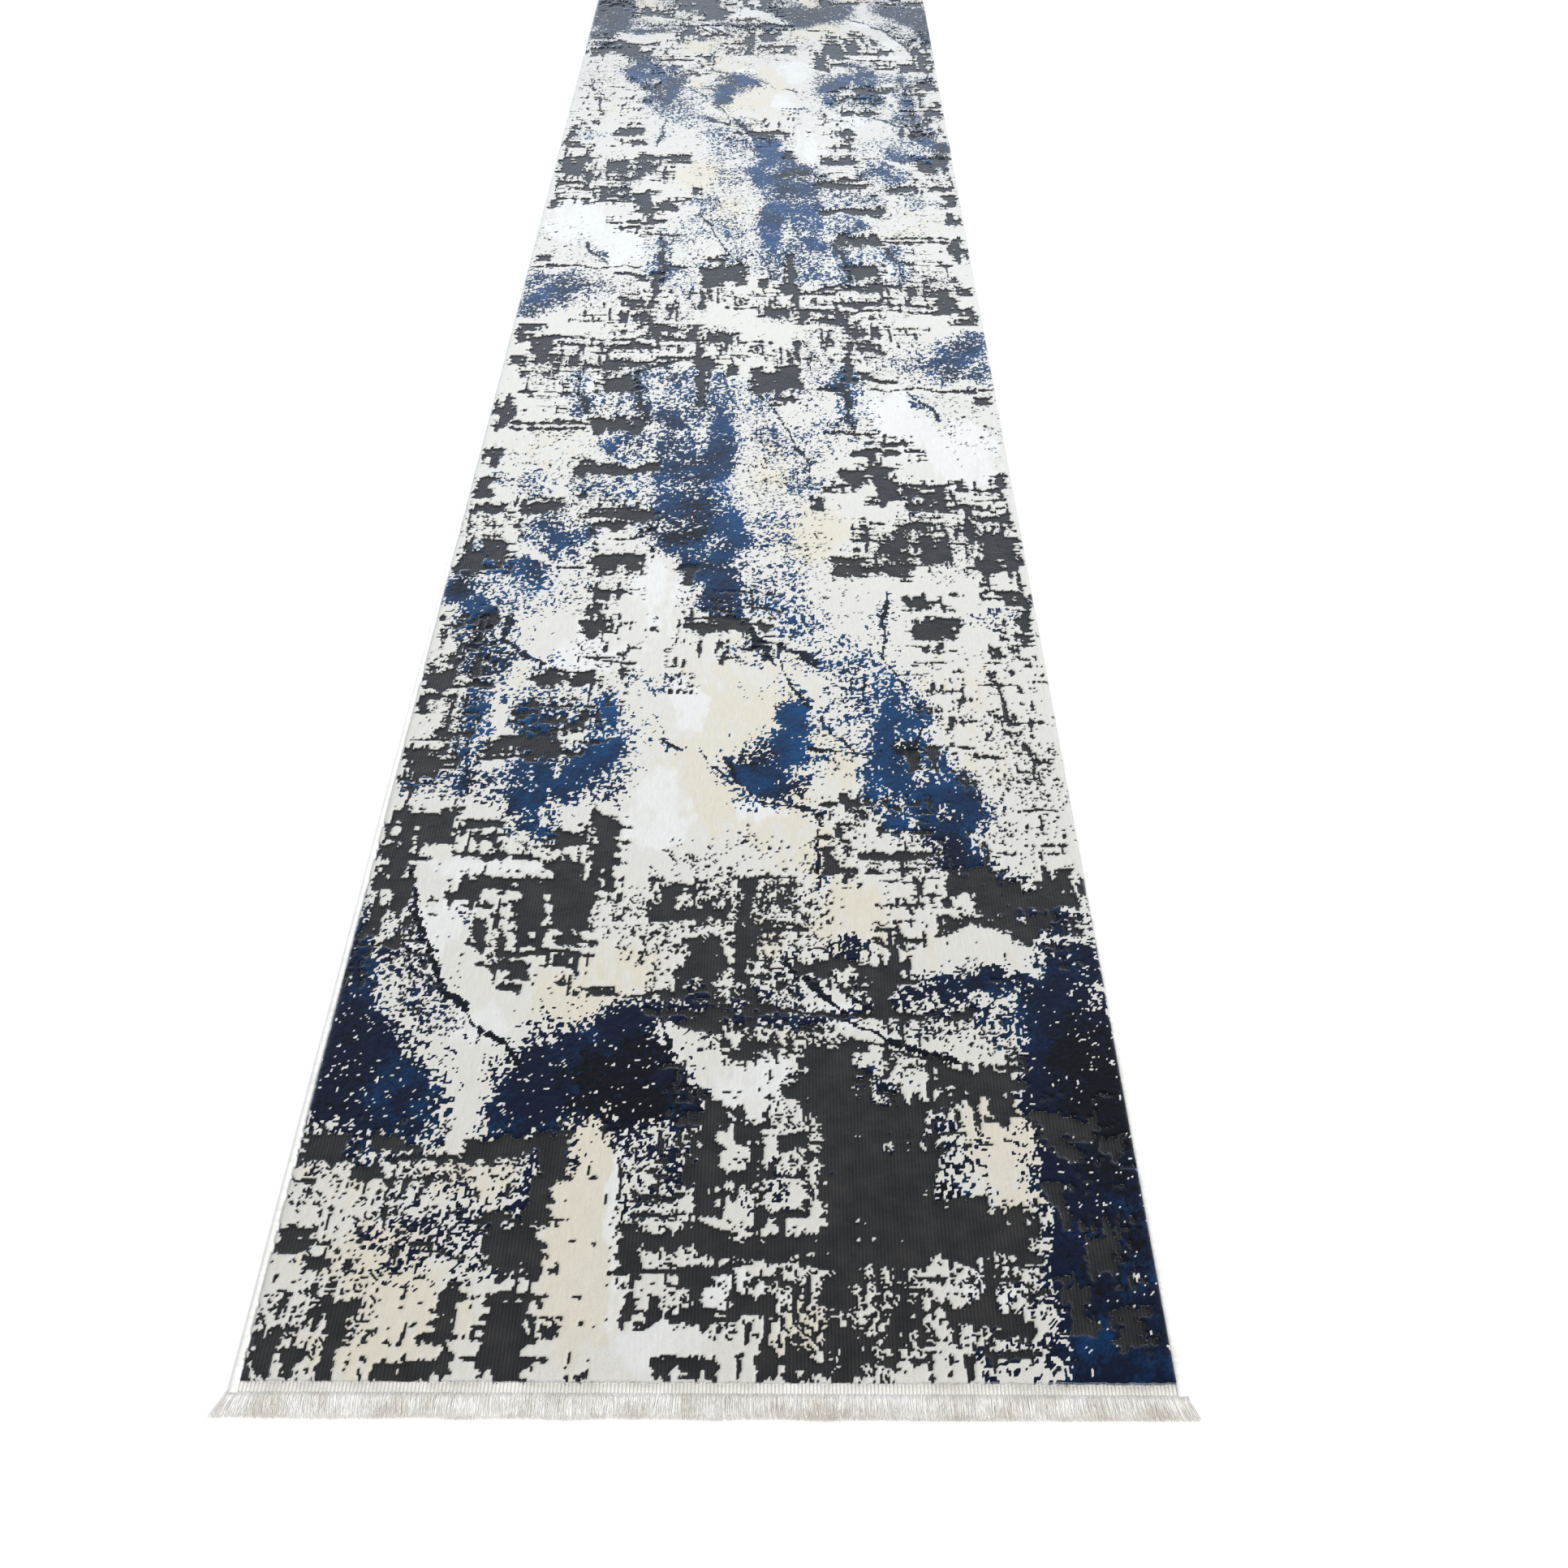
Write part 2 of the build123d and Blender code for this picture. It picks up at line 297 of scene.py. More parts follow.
# Areas of charcoal in the near half, in centimetres: left, right, low, high
charcoalBlocks = [
    # centre band
    (-38.5, -34, -5, 1), (-35, -31.3, -13, -4.5), (-38.2, -31, -7, -4), (-31, -15, -5.3, -4.4),
    (-15, -7.5, -5.6, -3.6), (-7.5, -2, -6.2, -2.4), (-2, 4.5, -6, -5.2), (-17.5, -14, -5, 1),
    (-15, -12, -3, -0.5), (-9.5, -7.5, -5, 0.5), (-18, -14, -8.6, -7), (-15, -7, -11, -10),
    (-8.2, -6.8, -20, -7), (-8.2, -5.5, -15, -10), (-8, -6.2, -25, -15), (-29.6, -27, -13.6, -10),
    (-22.7, -20, -14.5, -10.4), (-20, -15.6, -13.6, -11), (-14.8, -11.5, -14, -11.4),
    (-38.3, -35.8, -13.5, -10.5), (-23.2, -17, -21, -15.6), (-36, -32.6, -21.2, -20.2),
    (-34, -32.8, -23, -20.2), (-38.4, -36, -30, -21.5), (1, 8.5, -21.4, -14.4), (5, 8.5, -15, -12),
    (4, 8.5, -24.5, -21.8), (-4, -1, -16, -13.2), (15.5, 17.4, -18, -5), (17.4, 21.5, -9.4, -5.2),
    (15.5, 19.5, -4.5, 0.5), (20.5, 22.2, -3.8, -0.2), (18, 21, -17.5, -15.2), (20.6, 24.5, -18, -16.6),
    (8, 14, -20.1, -19.5), (20, 38.4, -20.3, -19.6), (36, 38.4, -23.4, -21.6), (7.6, 8.6, -12, -5),
    (-30, -15.5, -7.8, -6.4), (-30.5, -29.8, -16, -6),
    # inner part
    (-24.4, -15.2, -32.4, -28.6), (-38.3, -24.4, -30, -29.2), (-36, -24.4, -31.6, -30.6),
    (-38.4, -36.2, -32, -26), (-38.4, -35.6, -42, -37), (-24, -12, -43, -40.8),
    (-25.4, -23.4, -44, -39.2), (-31.5, -25.2, -53.2, -49.6), (-38.4, -31, -53, -50.5),
    (-38.4, -36, -49, -45), (-23, -12.2, -54.4, -51), (-22, -16, -57, -54.2), (-38.4, -31.2, -66, -58.6),
    (10, 12, -51.8, -48.6), (12, 13.4, -47.2, -46), (14, 19.4, -46.6, -42.4), (17, 22.6, -44, -40.4),
    (18.4, 23, -50, -43), (15.6, 20, -39, -36.4), (20, 23.4, -38.8, -36.8), (23, 29, -50, -45.6),
    (23, 36, -52, -49.8), (30.5, 37.6, -47.4, -46.2), (31, 38.2, -54.6, -52.6), (20, 23.2, -64, -58),
    (25, 30, -64, -55.6), (33, 38.4, -64, -57.6), (31.4, 33, -60, -50), (16, 19, -57, -56.2),
    (16, 19, -59, -58.2), (18, 26, -35.6, -34.4), (36, 38.4, -46, -43), (-20, -12.6, -67, -62),
    (-24.6, -20, -65.5, -65), (-12.6, -7, -65.5, -65), (-7.6, -6, -68, -64.4), (-19.8, -17.2, -72, -69.6),
    (-19.6, -18, -75, -72.4), (-19.8, -17.2, -80, -76), (-14.8, -12.8, -72, -70),
    (-20, -14, -78.4, -76.8), (-12, -10.4, -78.2, -77), (-7.5, 1.4, -78.4, -76.6),
    (-7.6, -5.6, -77.4, -74.6), (-4, 1.2, -77, -75.2), (2.6, 5, -79, -77.2), (12.8, 24, -66.8, -63.9),
    (12.8, 14.6, -67.4, -63), (31, 38.5, -66.4, -62), (32.6, 38.5, -71.6, -66.4), (35, 38.5, -73.4, -71),
    (22.2, 25.6, -73.8, -71.4), (22.2, 28.6, -79.4, -75.6), (36, 38.4, -80, -78.6),
    (36.6, 38.4, -78.6, -74), (23.1, 25, -82.2, -80.4), (32.6, 34, -83.2, -81.2), (33, 33.7, -95, -88.6),
    (28.4, 32, -101.7, -100.9), (23.6, 24.5, -103, -99), (21.1, 22.2, -103.4, -100),
    (-38.7, -34.6, -89.4, -86.2), (-38.7, -30, -89.5, -88.2), (-25, -20.6, -89.4, -86),
    (-20, -17.4, -89.4, -85.6), (-38.7, -37, -94, -91), (-23.6, -20.4, -95.8, -94.4),
    (-29.5, -25, -101.4, -98.4), (-27, -20.6, -101.4, -97.4), (-30, -18, -101.6, -100.6),
    (-38.7, -34.2, -105, -100.2), (-38.7, -31, -115, -110.2), (-38.7, -35, -122, -115),
    (-30, -25.6, -113, -111.6), (-29, -26, -115, -114), (-19.5, -16.6, -115, -112.2),
    (-15.6, -12.2, -122, -110.4), (-20, -16, -122, -116), (10.2, 11.8, -109, -107.4),
    (13.4, 16, -110, -107.6), (14, 21.4, -117.2, -115.4), (35, 38, -121.4, -118.4),
    (10.4, 12, -120, -115.6), (-31, -21, -117.4, -116.4), (-28, -16, -121.6, -119.6),
    (-34.8, -31.6, -119.8, -117.6), (24, 30, -122, -118.6),
    # near end
    (-39, -33.8, -128.4, -120), (-30, -25.6, -124, -120), (-22.6, -14, -127, -120),
    (-22.6, -19.6, -129.6, -120), (-8, 0.6, -125.5, -123.2), (-7.6, -5, -123.4, -120),
    (1.6, 3, -128.4, -120), (25, 35, -127, -124.6), (22.6, 25, -129, -125), (26, 38.4, -124.2, -120),
    (30, 34, -128, -124.6), (-27, -25.5, -129.5, -125), (-18.4, -15.6, -129.4, -126.2),
    (-24, -15, -130.4, -129.4), (-18, -15, -132.5, -130.2), (-26.4, -20, -132.4, -131),
    (-22.6, -20, -133.4, -131.8), (-24, -20.2, -135, -134), (-4.6, 0, -134, -127.6),
    (0.6, 2.6, -133.8, -126), (8, 13, -132.4, -130.6), (12.6, 20, -134.4, -130.4), (15, 17, -138, -134),
    (-14, 3, -135.4, -134.6), (-8, 25, -137.6, -136.9), (-4, 0, -140, -137.2), (8, 14, -151, -140.4),
    (20, 29.4, -147, -142.4), (24, 29.4, -149.4, -142.8), (-2.4, 1, -160, -146), (-2, 9, -149.6, -146),
    (1, 9, -160, -149), (9, 20.4, -165, -147), (18, 29, -162, -157.6), (20, 23.6, -150, -146),
    (-17, -14.5, -160, -151), (-26, -17, -153.5, -151.6), (-39, -35, -154.4, -151.2),
    (-32.4, -29.4, -153, -151), (-34, -30.4, -156, -154.6), (-21, -15, -165, -159.6),
    (-8, 29, -163.4, -160.4), (-8, -6, -165.4, -160.4), (-3, 1, -166.4, -164),
    (-36, -34.8, -164.4, -163.4), (-34.2, -33, -164.4, -163.4), (-32.6, -31.6, -164.4, -163.4),
    (-20, -15, -174, -166.6), (-24.4, -22.2, -171, -167), (-34.6, -33, -169, -166),
    (-33, -31.2, -174, -167), (-14.6, -12.8, -168, -167), (-14.6, -12.8, -170, -169),
    (-12, -10.6, -168, -166.8), (-12, -10.6, -170, -168.8), (-14.4, -10, -173.4, -171.6),
    (-8, -6.6, -169.6, -167), (-6, -5, -169.6, -167), (-4, -2.6, -169.4, -166), (-2.6, 0, -169.4, -167.4),
    (-5, 0.6, -173.8, -172.2), (4, 9, -173.6, -171.4), (1.6, 8, -168.4, -166.4), (10, 13.6, -174, -169),
    (14.6, 17, -171, -166), (9, 12, -168, -165), (20, 28, -170, -166.8), (-39.2, -37, -174, -170.4),
    (-36.6, -34.6, -174, -171), (-29, -26, -174, -172), (-26, -21, -174, -171.8),
    (-39.2, -36, -162.6, -160.4), (-8, 2, -157.6, -156.8), (30.4, 36, -151, -148.4),
    (31, 34, -153.6, -151), (36, 38.8, -153.4, -151), (33, 36, -164.4, -160.4), (31, 33, -170, -166),
    (35, 38, -171, -167), (30.6, 32, -160, -156),
]

# Light patches left standing inside the charcoal: left, right, low, high
lightBlocks = [
    (-34, -21, -119.2, -117.4), (-19.4, -18.7, -126.4, -122.6), (-14.2, -13.6, -127, -120),
    (2, 6, -148, -143), (4.8, 8, -150.8, -147.4), (1, 3.4, -153.6, -152.2), (1, 3.4, -155, -153.8),
    (4.2, 5.2, -155, -150), (5.4, 8, -155.2, -152.4), (4.4, 8, -158.6, -155.8), (2, 4, -160, -157),
    (8.6, 10, -160.6, -158.4), (22, 22.8, -148.6, -146.8), (25, 25.8, -148.6, -146.4),
    (33.8, 38, -69.6, -67), (33, 34.4, -71, -70), (-37.6, -33.8, -3.4, -2.6), (-36.8, -35.6, -61.4, -59),
    (-35, -33.6, -64.6, -63.4), (24, 29, -53.2, -52.4), (24, 29, -57.4, -56.8), (31, 37, -49, -47.6),
    (-33.6, -31.8, -52.6, -51), (-36.6, -35, -128, -124.4), (-38, -36.6, -124, -122),
    (6, 7.6, -168.6, -166), (-3.6, -2.8, -168.6, -166), (12, 14, -170.2, -168.6),
    (15.4, 17, -173.4, -171.6), (-16.4, -15.6, -67.2, -65), (18, 19, -48.6, -47),
    (25.6, 27.4, -47.8, -46.8),
]

# Areas broken into small charcoal islands: left, right, low, high, share
charcoalMesh = [
    (-31, -8, -9.6, -5.6, 0.42), (-31, -15, -15, -9.6, 0.4), (-24, -8, -3.5, 0.5, 0.35),
    (-12, 9, -12, -6, 0.3), (8, 22, -14, 0.5, 0.28), (18, 30, -8, 0.5, 0.2), (-38, -24, -20, -13, 0.22),
    (-36, -26, -28, -20, 0.16), (10, 22, -35, -29, 0.2), (18, 27, -40, -33, 0.35),
    (22, 38.6, -62, -44, 0.5), (15, 20, -64, -54, 0.4), (-38.6, -30, -60, -54, 0.3),
    (-24, -12, -60, -48, 0.3), (-20, -12.6, -90, -67, 0.26), (21.6, 29, -86, -70, 0.26),
    (34, 38.8, -86, -72, 0.3), (-38.7, -31, -100, -74, 0.34), (-38.7, -31, -110, -100, 0.3),
    (23, 26, -100, -84, 0.26), (32, 35, -100, -80, 0.2), (-8, 6, -84, -70, 0.2),
    (-31, -12, -122, -112, 0.22), (-9, -5, -90, -80, 0.25), (-27, -14, -100, -90, 0.3),
    (9.6, 26, -122, -107, 0.22), (-8, 10, -130, -119, 0.3), (-34, -14, -136, -120, 0.14),
    (16, 26, -130, -119, 0.25), (-6, 12, -141, -128, 0.26), (10, 25, -142, -136, 0.18),
    (-5, 12, -153, -140, 0.36), (14, 30, -152, -141, 0.26), (-8, 2, -168, -150, 0.26),
    (-39, -14, -158, -150, 0.18), (-39, -15, -174, -164, 0.1), (-15, -9.4, -174, -156, 0.12),
    (0, 30, -174, -163, 0.28), (-39, -21, -165, -156, 0.06), (26, 39, -118, -86, 0.12),
    (28, 39, -172, -146, 0.05), (-39, -33, -134, -120, 0.3), (26, 39, -132, -119, 0.18),
    (3, 9, -166, -150, 0.2), (-16, -4, -160, -150, 0.14),
]

# Blue areas: x, y, radius across, radius along, turn in degrees, share of blue
blueClouds = [
    (-36, -143, 6, 9, 0, 1.15), (-31, -147, 5, 5, 0, 0.9), (-34, -133, 8, 10, 0, 0.55),
    (-39, -132, 2.4, 9, 0, 1.0), (-33, -152, 7, 3, 0, 0.6), (-12.6, -145, 8.4, 7.4, 0, 1.2),
    (-8, -138.4, 7, 3, 0, 0.85), (-18, -146, 4, 7.4, 0, 1.1), (-22.6, -147, 2.4, 5, 0, 0.4),
    (-4.6, -146, 4, 4, -40, 1.1), (36, -156, 6.4, 22, 0, 1.3), (36, -132, 5, 9, 0, 0.85),
    (27, -133.4, 8, 1.8, 0, 1.05), (26, -137, 8, 4, 0, 0.55), (31.4, -143, 3, 6, 0, 1.0),
    (30.6, -167, 3.4, 9, 0, 0.65), (26, -170, 6, 5, 0, 0.4), (-5, -155.6, 3.6, 4.6, 0, 0.66),
    (-13.6, -153, 2, 3, 0, 0.7), (-18.4, -157, 3, 3.4, 0, 0.66), (-25, -160.6, 7, 4.6, 0, 0.46),
    (15.6, -146, 3.6, 3, 0, 0.66), (22.6, -152, 3, 5, 20, 0.72), (20, -154.6, 3.4, 3, 0, 0.8),
    (-1.6, -137, 3, 4, 0, 0.62), (4.6, -135.4, 4, 2, 0, 0.5), (12.8, -129, 3, 2, 0, 0.8),
    (7, -133.6, 3, 2.6, 0, 0.5), (4, -156, 3, 3, 0, 0.4), (12.6, -157, 4, 3, 0, 0.5),
    (-3, -62, 5.2, 8, 0, 1.25), (-1.8, -69, 3, 5.6, -12, 1.25), (-0.8, -73, 1.5, 3, -25, 1.2),
    (5, -70, 5.4, 7, 0, 0.45), (8, -77, 4, 4, 0, 0.55), (12.6, -83.4, 4.4, 4, 0, 0.5),
    (-5.6, -71.6, 2.4, 4, 0, 0.4), (17, -92.6, 6.4, 8.6, -12, 0.52), (21.4, -94, 2, 6.4, -12, 0.8),
    (18.4, -104, 3.6, 5.4, -12, 1.05), (21.6, -109.6, 3, 4.6, -40, 1.25),
    (25, -114.4, 2.2, 4.6, -36, 1.25), (29.6, -119.6, 4, 1.9, -20, 1.2), (25.6, -109, 5, 4.6, 0, 0.6),
    (5, -103.4, 5.2, 6.4, -12, 0.92), (7.6, -95.4, 2.4, 3, 0, 1.4), (-33.4, -79, 2.6, 5.4, -8, 1.1),
    (-30.4, -84.4, 3.4, 4, -30, 1.0), (-31.4, -97, 1.5, 11, 0, 1.1), (-37, -70.4, 3, 5, 0, 0.95),
    (-28, -69.4, 8, 5.6, 0, 0.45), (-27, -67, 3, 4, 0, 0.7), (-23.2, -106.6, 2.9, 6, -8, 1.2),
    (-17, -105, 6, 5.6, 0, 0.52), (-15.6, -98.6, 5, 6, 0, 0.45), (-22, -92.6, 7, 4, 0, 0.5),
    (-33.6, -106.6, 4, 2, 0, 0.8), (-28.6, -107, 3, 2.4, 0, 0.7), (-10.4, -88.8, 4, 2, 0, 0.45),
    (33, -75.8, 4, 2, 0, 0.42), (-22, -111, 4, 4, 0, 0.7), (35, -6.6, 6, 4, 0, 0.95),
    (32, -11.6, 8.6, 5.6, 0, 0.6), (36, -14, 4, 6, 0, 0.6), (16, -17.4, 2.8, 2.9, 0, 1.4),
    (12.4, -14, 3, 5, 0, 0.45), (27.4, -23.9, 1.4, 1.5, -30, 1.2), (-8, -22, 8.4, 9, 0, 0.62),
    (-3.6, -36, 3.4, 9, -10, 1.0), (-8, -34, 6.4, 9, 0, 0.55), (-8.6, -46.4, 6, 3.6, 0, 1.0),
    (-6, -56, 7, 8, 0, 1.15), (-14.4, -36, 7, 5, 0, 0.62), (-20, -37.4, 2, 5, 20, 0.9),
    (-18, -46.6, 6.6, 5, 0, 0.6), (-31, -45.4, 5, 3, 0, 0.62), (-28, -58, 4, 5, 0, 0.85),
    (-24, -60, 3.6, 5, 0, 0.62), (3, -30, 4, 12, 12, 0.42), (8, -45, 3.4, 5, 0, 0.42),
    (11, -34, 4, 9, 0, 0.35), (5, -56, 4, 6, 0, 0.42), (24.6, -50, 0.9, 6.4, 0, 1.0),
    (-19, -24, 6, 5, 0, 0.4), (-12, -27, 5, 4, 0, 0.7), (10.4, -22, 3, 3, 0, 0.4),
    (-24.6, -25.6, 2, 3, 20, 0.8), (-16, -17, 3, 3, 0, 0.5),
]

# Blue bands that widen and narrow: points along each, with the half width there
blueTrails = [
    [(-12, -27, 2.0), (-10, -36, 3.4), (-8.5, -45, 4.6), (-8, -52, 5.0), (-5, -59, 4.8),
     (-3.2, -64, 3.2), (-2.0, -69, 1.9), (-0.6, -74, 0.7)],
    [(-3.6, -26, 1.2), (-3.0, -34, 2.6), (-3.6, -42, 2.4), (-6, -48, 2.0)],
    [(19.6, -90, 1.4), (18, -97, 2.0), (18.4, -102, 2.1), (21, -107, 2.1), (23.4, -112, 2.0),
     (26.8, -117, 1.9), (30, -121.4, 2.0), (34.4, -125.4, 2.4)],
    [(22, -98, 1.6), (25, -105, 3.0), (28, -110, 2.2)],
    [(7.4, -93, 1.8), (7.6, -97, 1.8), (5, -102, 3.6), (3, -105, 2.4)],
    [(-34.4, -73, 2.2), (-33.4, -79, 2.2), (-30.6, -84, 2.2), (-31.4, -90, 1.2), (-31.4, -98, 1.2),
     (-31.4, -106, 1.4)],
    [(-36.6, -61, 1.2), (-33.6, -65, 2.0), (-30, -66, 2.0), (-25, -60, 2.0), (-21, -57, 1.4)],
    [(-25, -93, 1.8), (-23, -100, 2.2), (-23.4, -107, 3.2), (-23, -112, 1.6)],
    [(-16, -92, 1.6), (-15, -100, 2.6), (-19, -106, 2.6)],
    [(-26.4, -15, 0.9), (-26, -22, 1.2), (-24, -27, 1.0)],
    [(-17, -16, 1.2), (-16.8, -22, 1.8), (-14.6, -28, 1.6)],
    [(16, -15, 2.0), (15.4, -20, 1.8), (15.6, -26, 1.0), (17, -31, 0.6)],
    [(31, -15, 3.4), (34, -9, 3.4), (37, -5, 3.0)],
    [(-2, -137.6, 1.0), (8, -138.4, 0.8), (20, -134.6, 1.0), (30, -132.6, 1.6), (38, -131, 3.2)],
    [(33, -136, 3.6), (36.4, -142, 6.0), (35.6, -150, 6.4), (35.4, -160, 6.0), (35.6, -170, 5.6),
     (36, -176, 5.6)],
    [(-38, -128, 1.2), (-38, -136, 2.8), (-36, -144, 5.6), (-32, -147, 4.6), (-29, -149, 2.6)],
    [(-20, -150, 2.6), (-16, -145, 5.2), (-11, -143, 5.4), (-6, -144.6, 4.4), (-3.4, -149, 2.0)],
]

# Light ribbons that stay clear of dark tufts: points along each, with the half width there
clearRibbons = [
    [(-33, -119, 1.0), (-31, -125, 1.6), (-28, -131, 2.0), (-24.8, -136, 2.3), (-21.6, -139.6, 1.4)],
    [(-6, -138.6, 0.6), (-3, -141.4, 1.6), (0.6, -145, 2.2), (3, -148, 1.4)],
    [(8.5, -134.4, 0.5), (12, -135.6, 0.9), (15, -136.4, 0.5)],
    [(11, -138, 0.5), (17, -140, 1.0), (23, -142, 0.9)],
    [(22, -129.5, 1.2), (27, -128.6, 2.0), (32, -131, 1.2)],
    [(-25, -142.6, 1.0), (-23.6, -147, 1.3), (-25, -152, 0.8)],
    [(-12, -151.6, 1.4), (-10.8, -158, 2.2), (-11.6, -165, 2.2), (-12, -172, 1.8)],
    [(-33, -56, 0.8), (-31, -61, 1.2), (-27, -64, 0.8)],
    [(-10, -65, 1.2), (-13, -72, 2.2), (-15, -80, 2.0)],
]

# Near-black cores: x, y, radius across, radius along, turn, share
blackCores = [
    (-9.6, -145.4, 5.6, 4.4, 0, 1.2), (-5.4, -147, 2.6, 3, -30, 1.1), (38, -144, 5, 7, 0, 1.25),
    (36, -152, 4.6, 6, 0, 0.6), (36, -162, 4, 8, 0, 0.3), (20.6, -155, 2, 2, 0, 0.9),
    (-33, -79.4, 2.2, 4.4, -8, 1.0), (-29.6, -83.6, 2.6, 2.6, -30, 1.1), (-31.6, -88, 1.3, 4, 0, 0.8),
    (-31.4, -104, 1.2, 4, 0, 0.9), (35, -5, 4, 3, 0, 0.7), (-9, -57, 4, 4, 0, 0.8),
    (-8, -47, 3, 2, 0, 0.5), (-37.4, -144, 2, 6, 0, 0.4), (24.6, -50, 0.8, 5.6, 0, 0.7),
    (20, -100, 2.4, 1.6, 0, 0.8), (3, -101, 2, 2, 0, 0.7), (-36.4, -68, 1.6, 3, 0, 0.7),
    (-6, -51, 3, 3, 0, 0.5),
]

# Dark curved veins: points along each, and its width, in centimetres
veins = [
    ([(1.2, -20.6), (3.2, -23.8), (5.2, -27.6), (7.2, -32), (8.2, -36.6), (9.8, -41),
     (10.3, -44.4)], 0.62), ([(-17, -15), (-17, -21), (-16.2, -25.4), (-14, -28.8)], 1.6),
    ([(-26, -17), (-26.1, -23), (-24, -27)], 0.8),
    ([(15.2, -19), (15.2, -23), (15.8, -27), (16.8, -31)], 1.5),
    ([(25.8, -21), (27.4, -23.6), (29, -26), (29.9, -29)], 0.5),
    ([(-0.8, -74), (1.2, -77.2), (2.8, -80), (4.6, -84.6)], 1.1),
    ([(5.6, -80.4), (5.6, -85.4), (6.6, -88.6), (9.2, -92.4)], 0.5),
    ([(6, -81.4), (8.2, -82), (9.9, -85)], 0.9),
    ([(19.6, -71), (18.9, -76), (18.9, -82), (20.2, -86.6), (22.2, -91), (23, -95.4), (21.6, -99.4),
     (17, -100.2), (9, -99.8)], 0.5), ([(11, -94), (12.4, -97.4), (14.6, -99.8)], 0.35),
    ([(16, -84.6), (16, -94.6)], 0.35), ([(-0.6, -100.6), (0, -104.6), (3, -108.2), (9, -109.6)], 0.55),
    ([(9.9, -110), (9.9, -121), (8, -123)], 0.35), ([(-9.8, -94), (-8.6, -97.6), (-6.6, -100)], 0.22),
    ([(-4.2, -100), (-1.4, -104.2)], 0.25),
    ([(-30, -75.6), (-29.8, -80), (-27, -83.8), (-24.6, -85)], 0.9),
    ([(-34.7, -119), (-32.6, -126), (-29.6, -132.6), (-25.4, -138.6), (-21.6, -141.4),
     (-20, -144.6)], 0.55), ([(11, -137), (16, -140), (21, -142), (24, -143)], 0.6),
    ([(-6.4, -137), (-5, -142), (-2.4, -148)], 0.5), ([(-10, -152), (-8.6, -154.6), (-8, -160)], 0.3),
    ([(16.4, -147), (18, -152), (20, -155.6)], 0.6), ([(7, -131), (9.6, -134), (13, -137)], 1.0),
    ([(9.6, -131.6), (13, -134.6), (15.6, -137)], 0.7),
]

# Warm beige and bright white clouds: x, y, radius across, radius along, turn, strength
beigeClouds = [
    (-11.6, -162, 4, 13, 0, 1.3), (-28, -168, 7, 7, 0, 0.9), (-33, -163.6, 6, 3, 0, 0.9),
    (-18, -136, 6, 4, 0, 0.9), (-10, -132.6, 6, 3.4, 0, 0.8), (13.6, -125.6, 5, 6, 0, 0.9),
    (24, -128.6, 8, 5, 0, 0.4), (27.6, -153, 4, 6, 0, 1.0), (7.4, -171, 4, 3, 0, 1.0),
    (-23, -156.4, 4, 3, 0, 0.7), (3.4, -127.6, 2, 3, 0, 0.8), (6, -139, 7, 3, 0, 0.4),
    (-36, -158, 4, 5, 0, 0.5), (2, -98, 10, 20, 0, 1.0), (-11, -102, 5, 12, 0, 0.5),
    (-27.6, -90, 3, 7, 0, 0.6), (29, -95, 8, 20, 0, 0.4), (13, -103.4, 2.4, 4, 0, 0.9),
    (3, -39, 3, 11, 0, 0.7), (10, -57, 6.4, 9, 0, 1.0), (-29.6, -37, 6, 7, 0, 0.5),
    (-3, -12, 4, 3, 0, 0.5), (27, -1, 4, 6, 0, 0.5), (-20, -0.4, 4, 6, 0, 0.3), (7, -114, 6, 6, 0, 0.9),
    (27, -168, 4, 4, 0, 0.4), (7, -1.6, 6, 5, 0, 0.3), (-24, -58, 4, 4, 0, 0.2),
    (30, -131.6, 4, 2, 0, 0.6), (-3, -64.6, 1, 1, 0, 0.1), (5, -86, 6, 4, 0, 0.8),
    (-34, -134, 4, 4, 0, 0.5),
]
whitePatches = [
    (-6, -92.6, 2.4, 4, 0, 1.2), (-8, -107, 3, 4, 0, 0.9), (-8, -113, 4, 4, 0, 0.8),
    (4, -110.6, 3, 2.4, 0, 0.7), (-3.6, -171, 4.6, 2.6, 0, 1.0), (-8.6, -160, 1, 9, 0, 1.0),
    (4, -147, 5, 5, 0, 0.7), (24, -30, 6, 9, 0, 0.9), (32, -37, 6, 8, 0, 0.9), (-18, -83, 6, 6, 0, 0.8),
    (32, -126, 4, 4, 0, 0.6), (-30, -128, 3, 6, -25, 0.9), (-24, -139, 4, 3, 0, 0.9),
    (3, -168, 5, 3, 0, 0.7), (24, -166, 3, 3, 0, 0.8), (-11, -72, 4, 8, 0, 0.6), (9, -88, 1, 1, 0, 0.1),
    (12, -138.6, 4, 1.4, -25, 0.9), (-28, -118, 8, 1.6, 0, 0.8), (-24, -19, 5, 8, 0, 0.5),
]

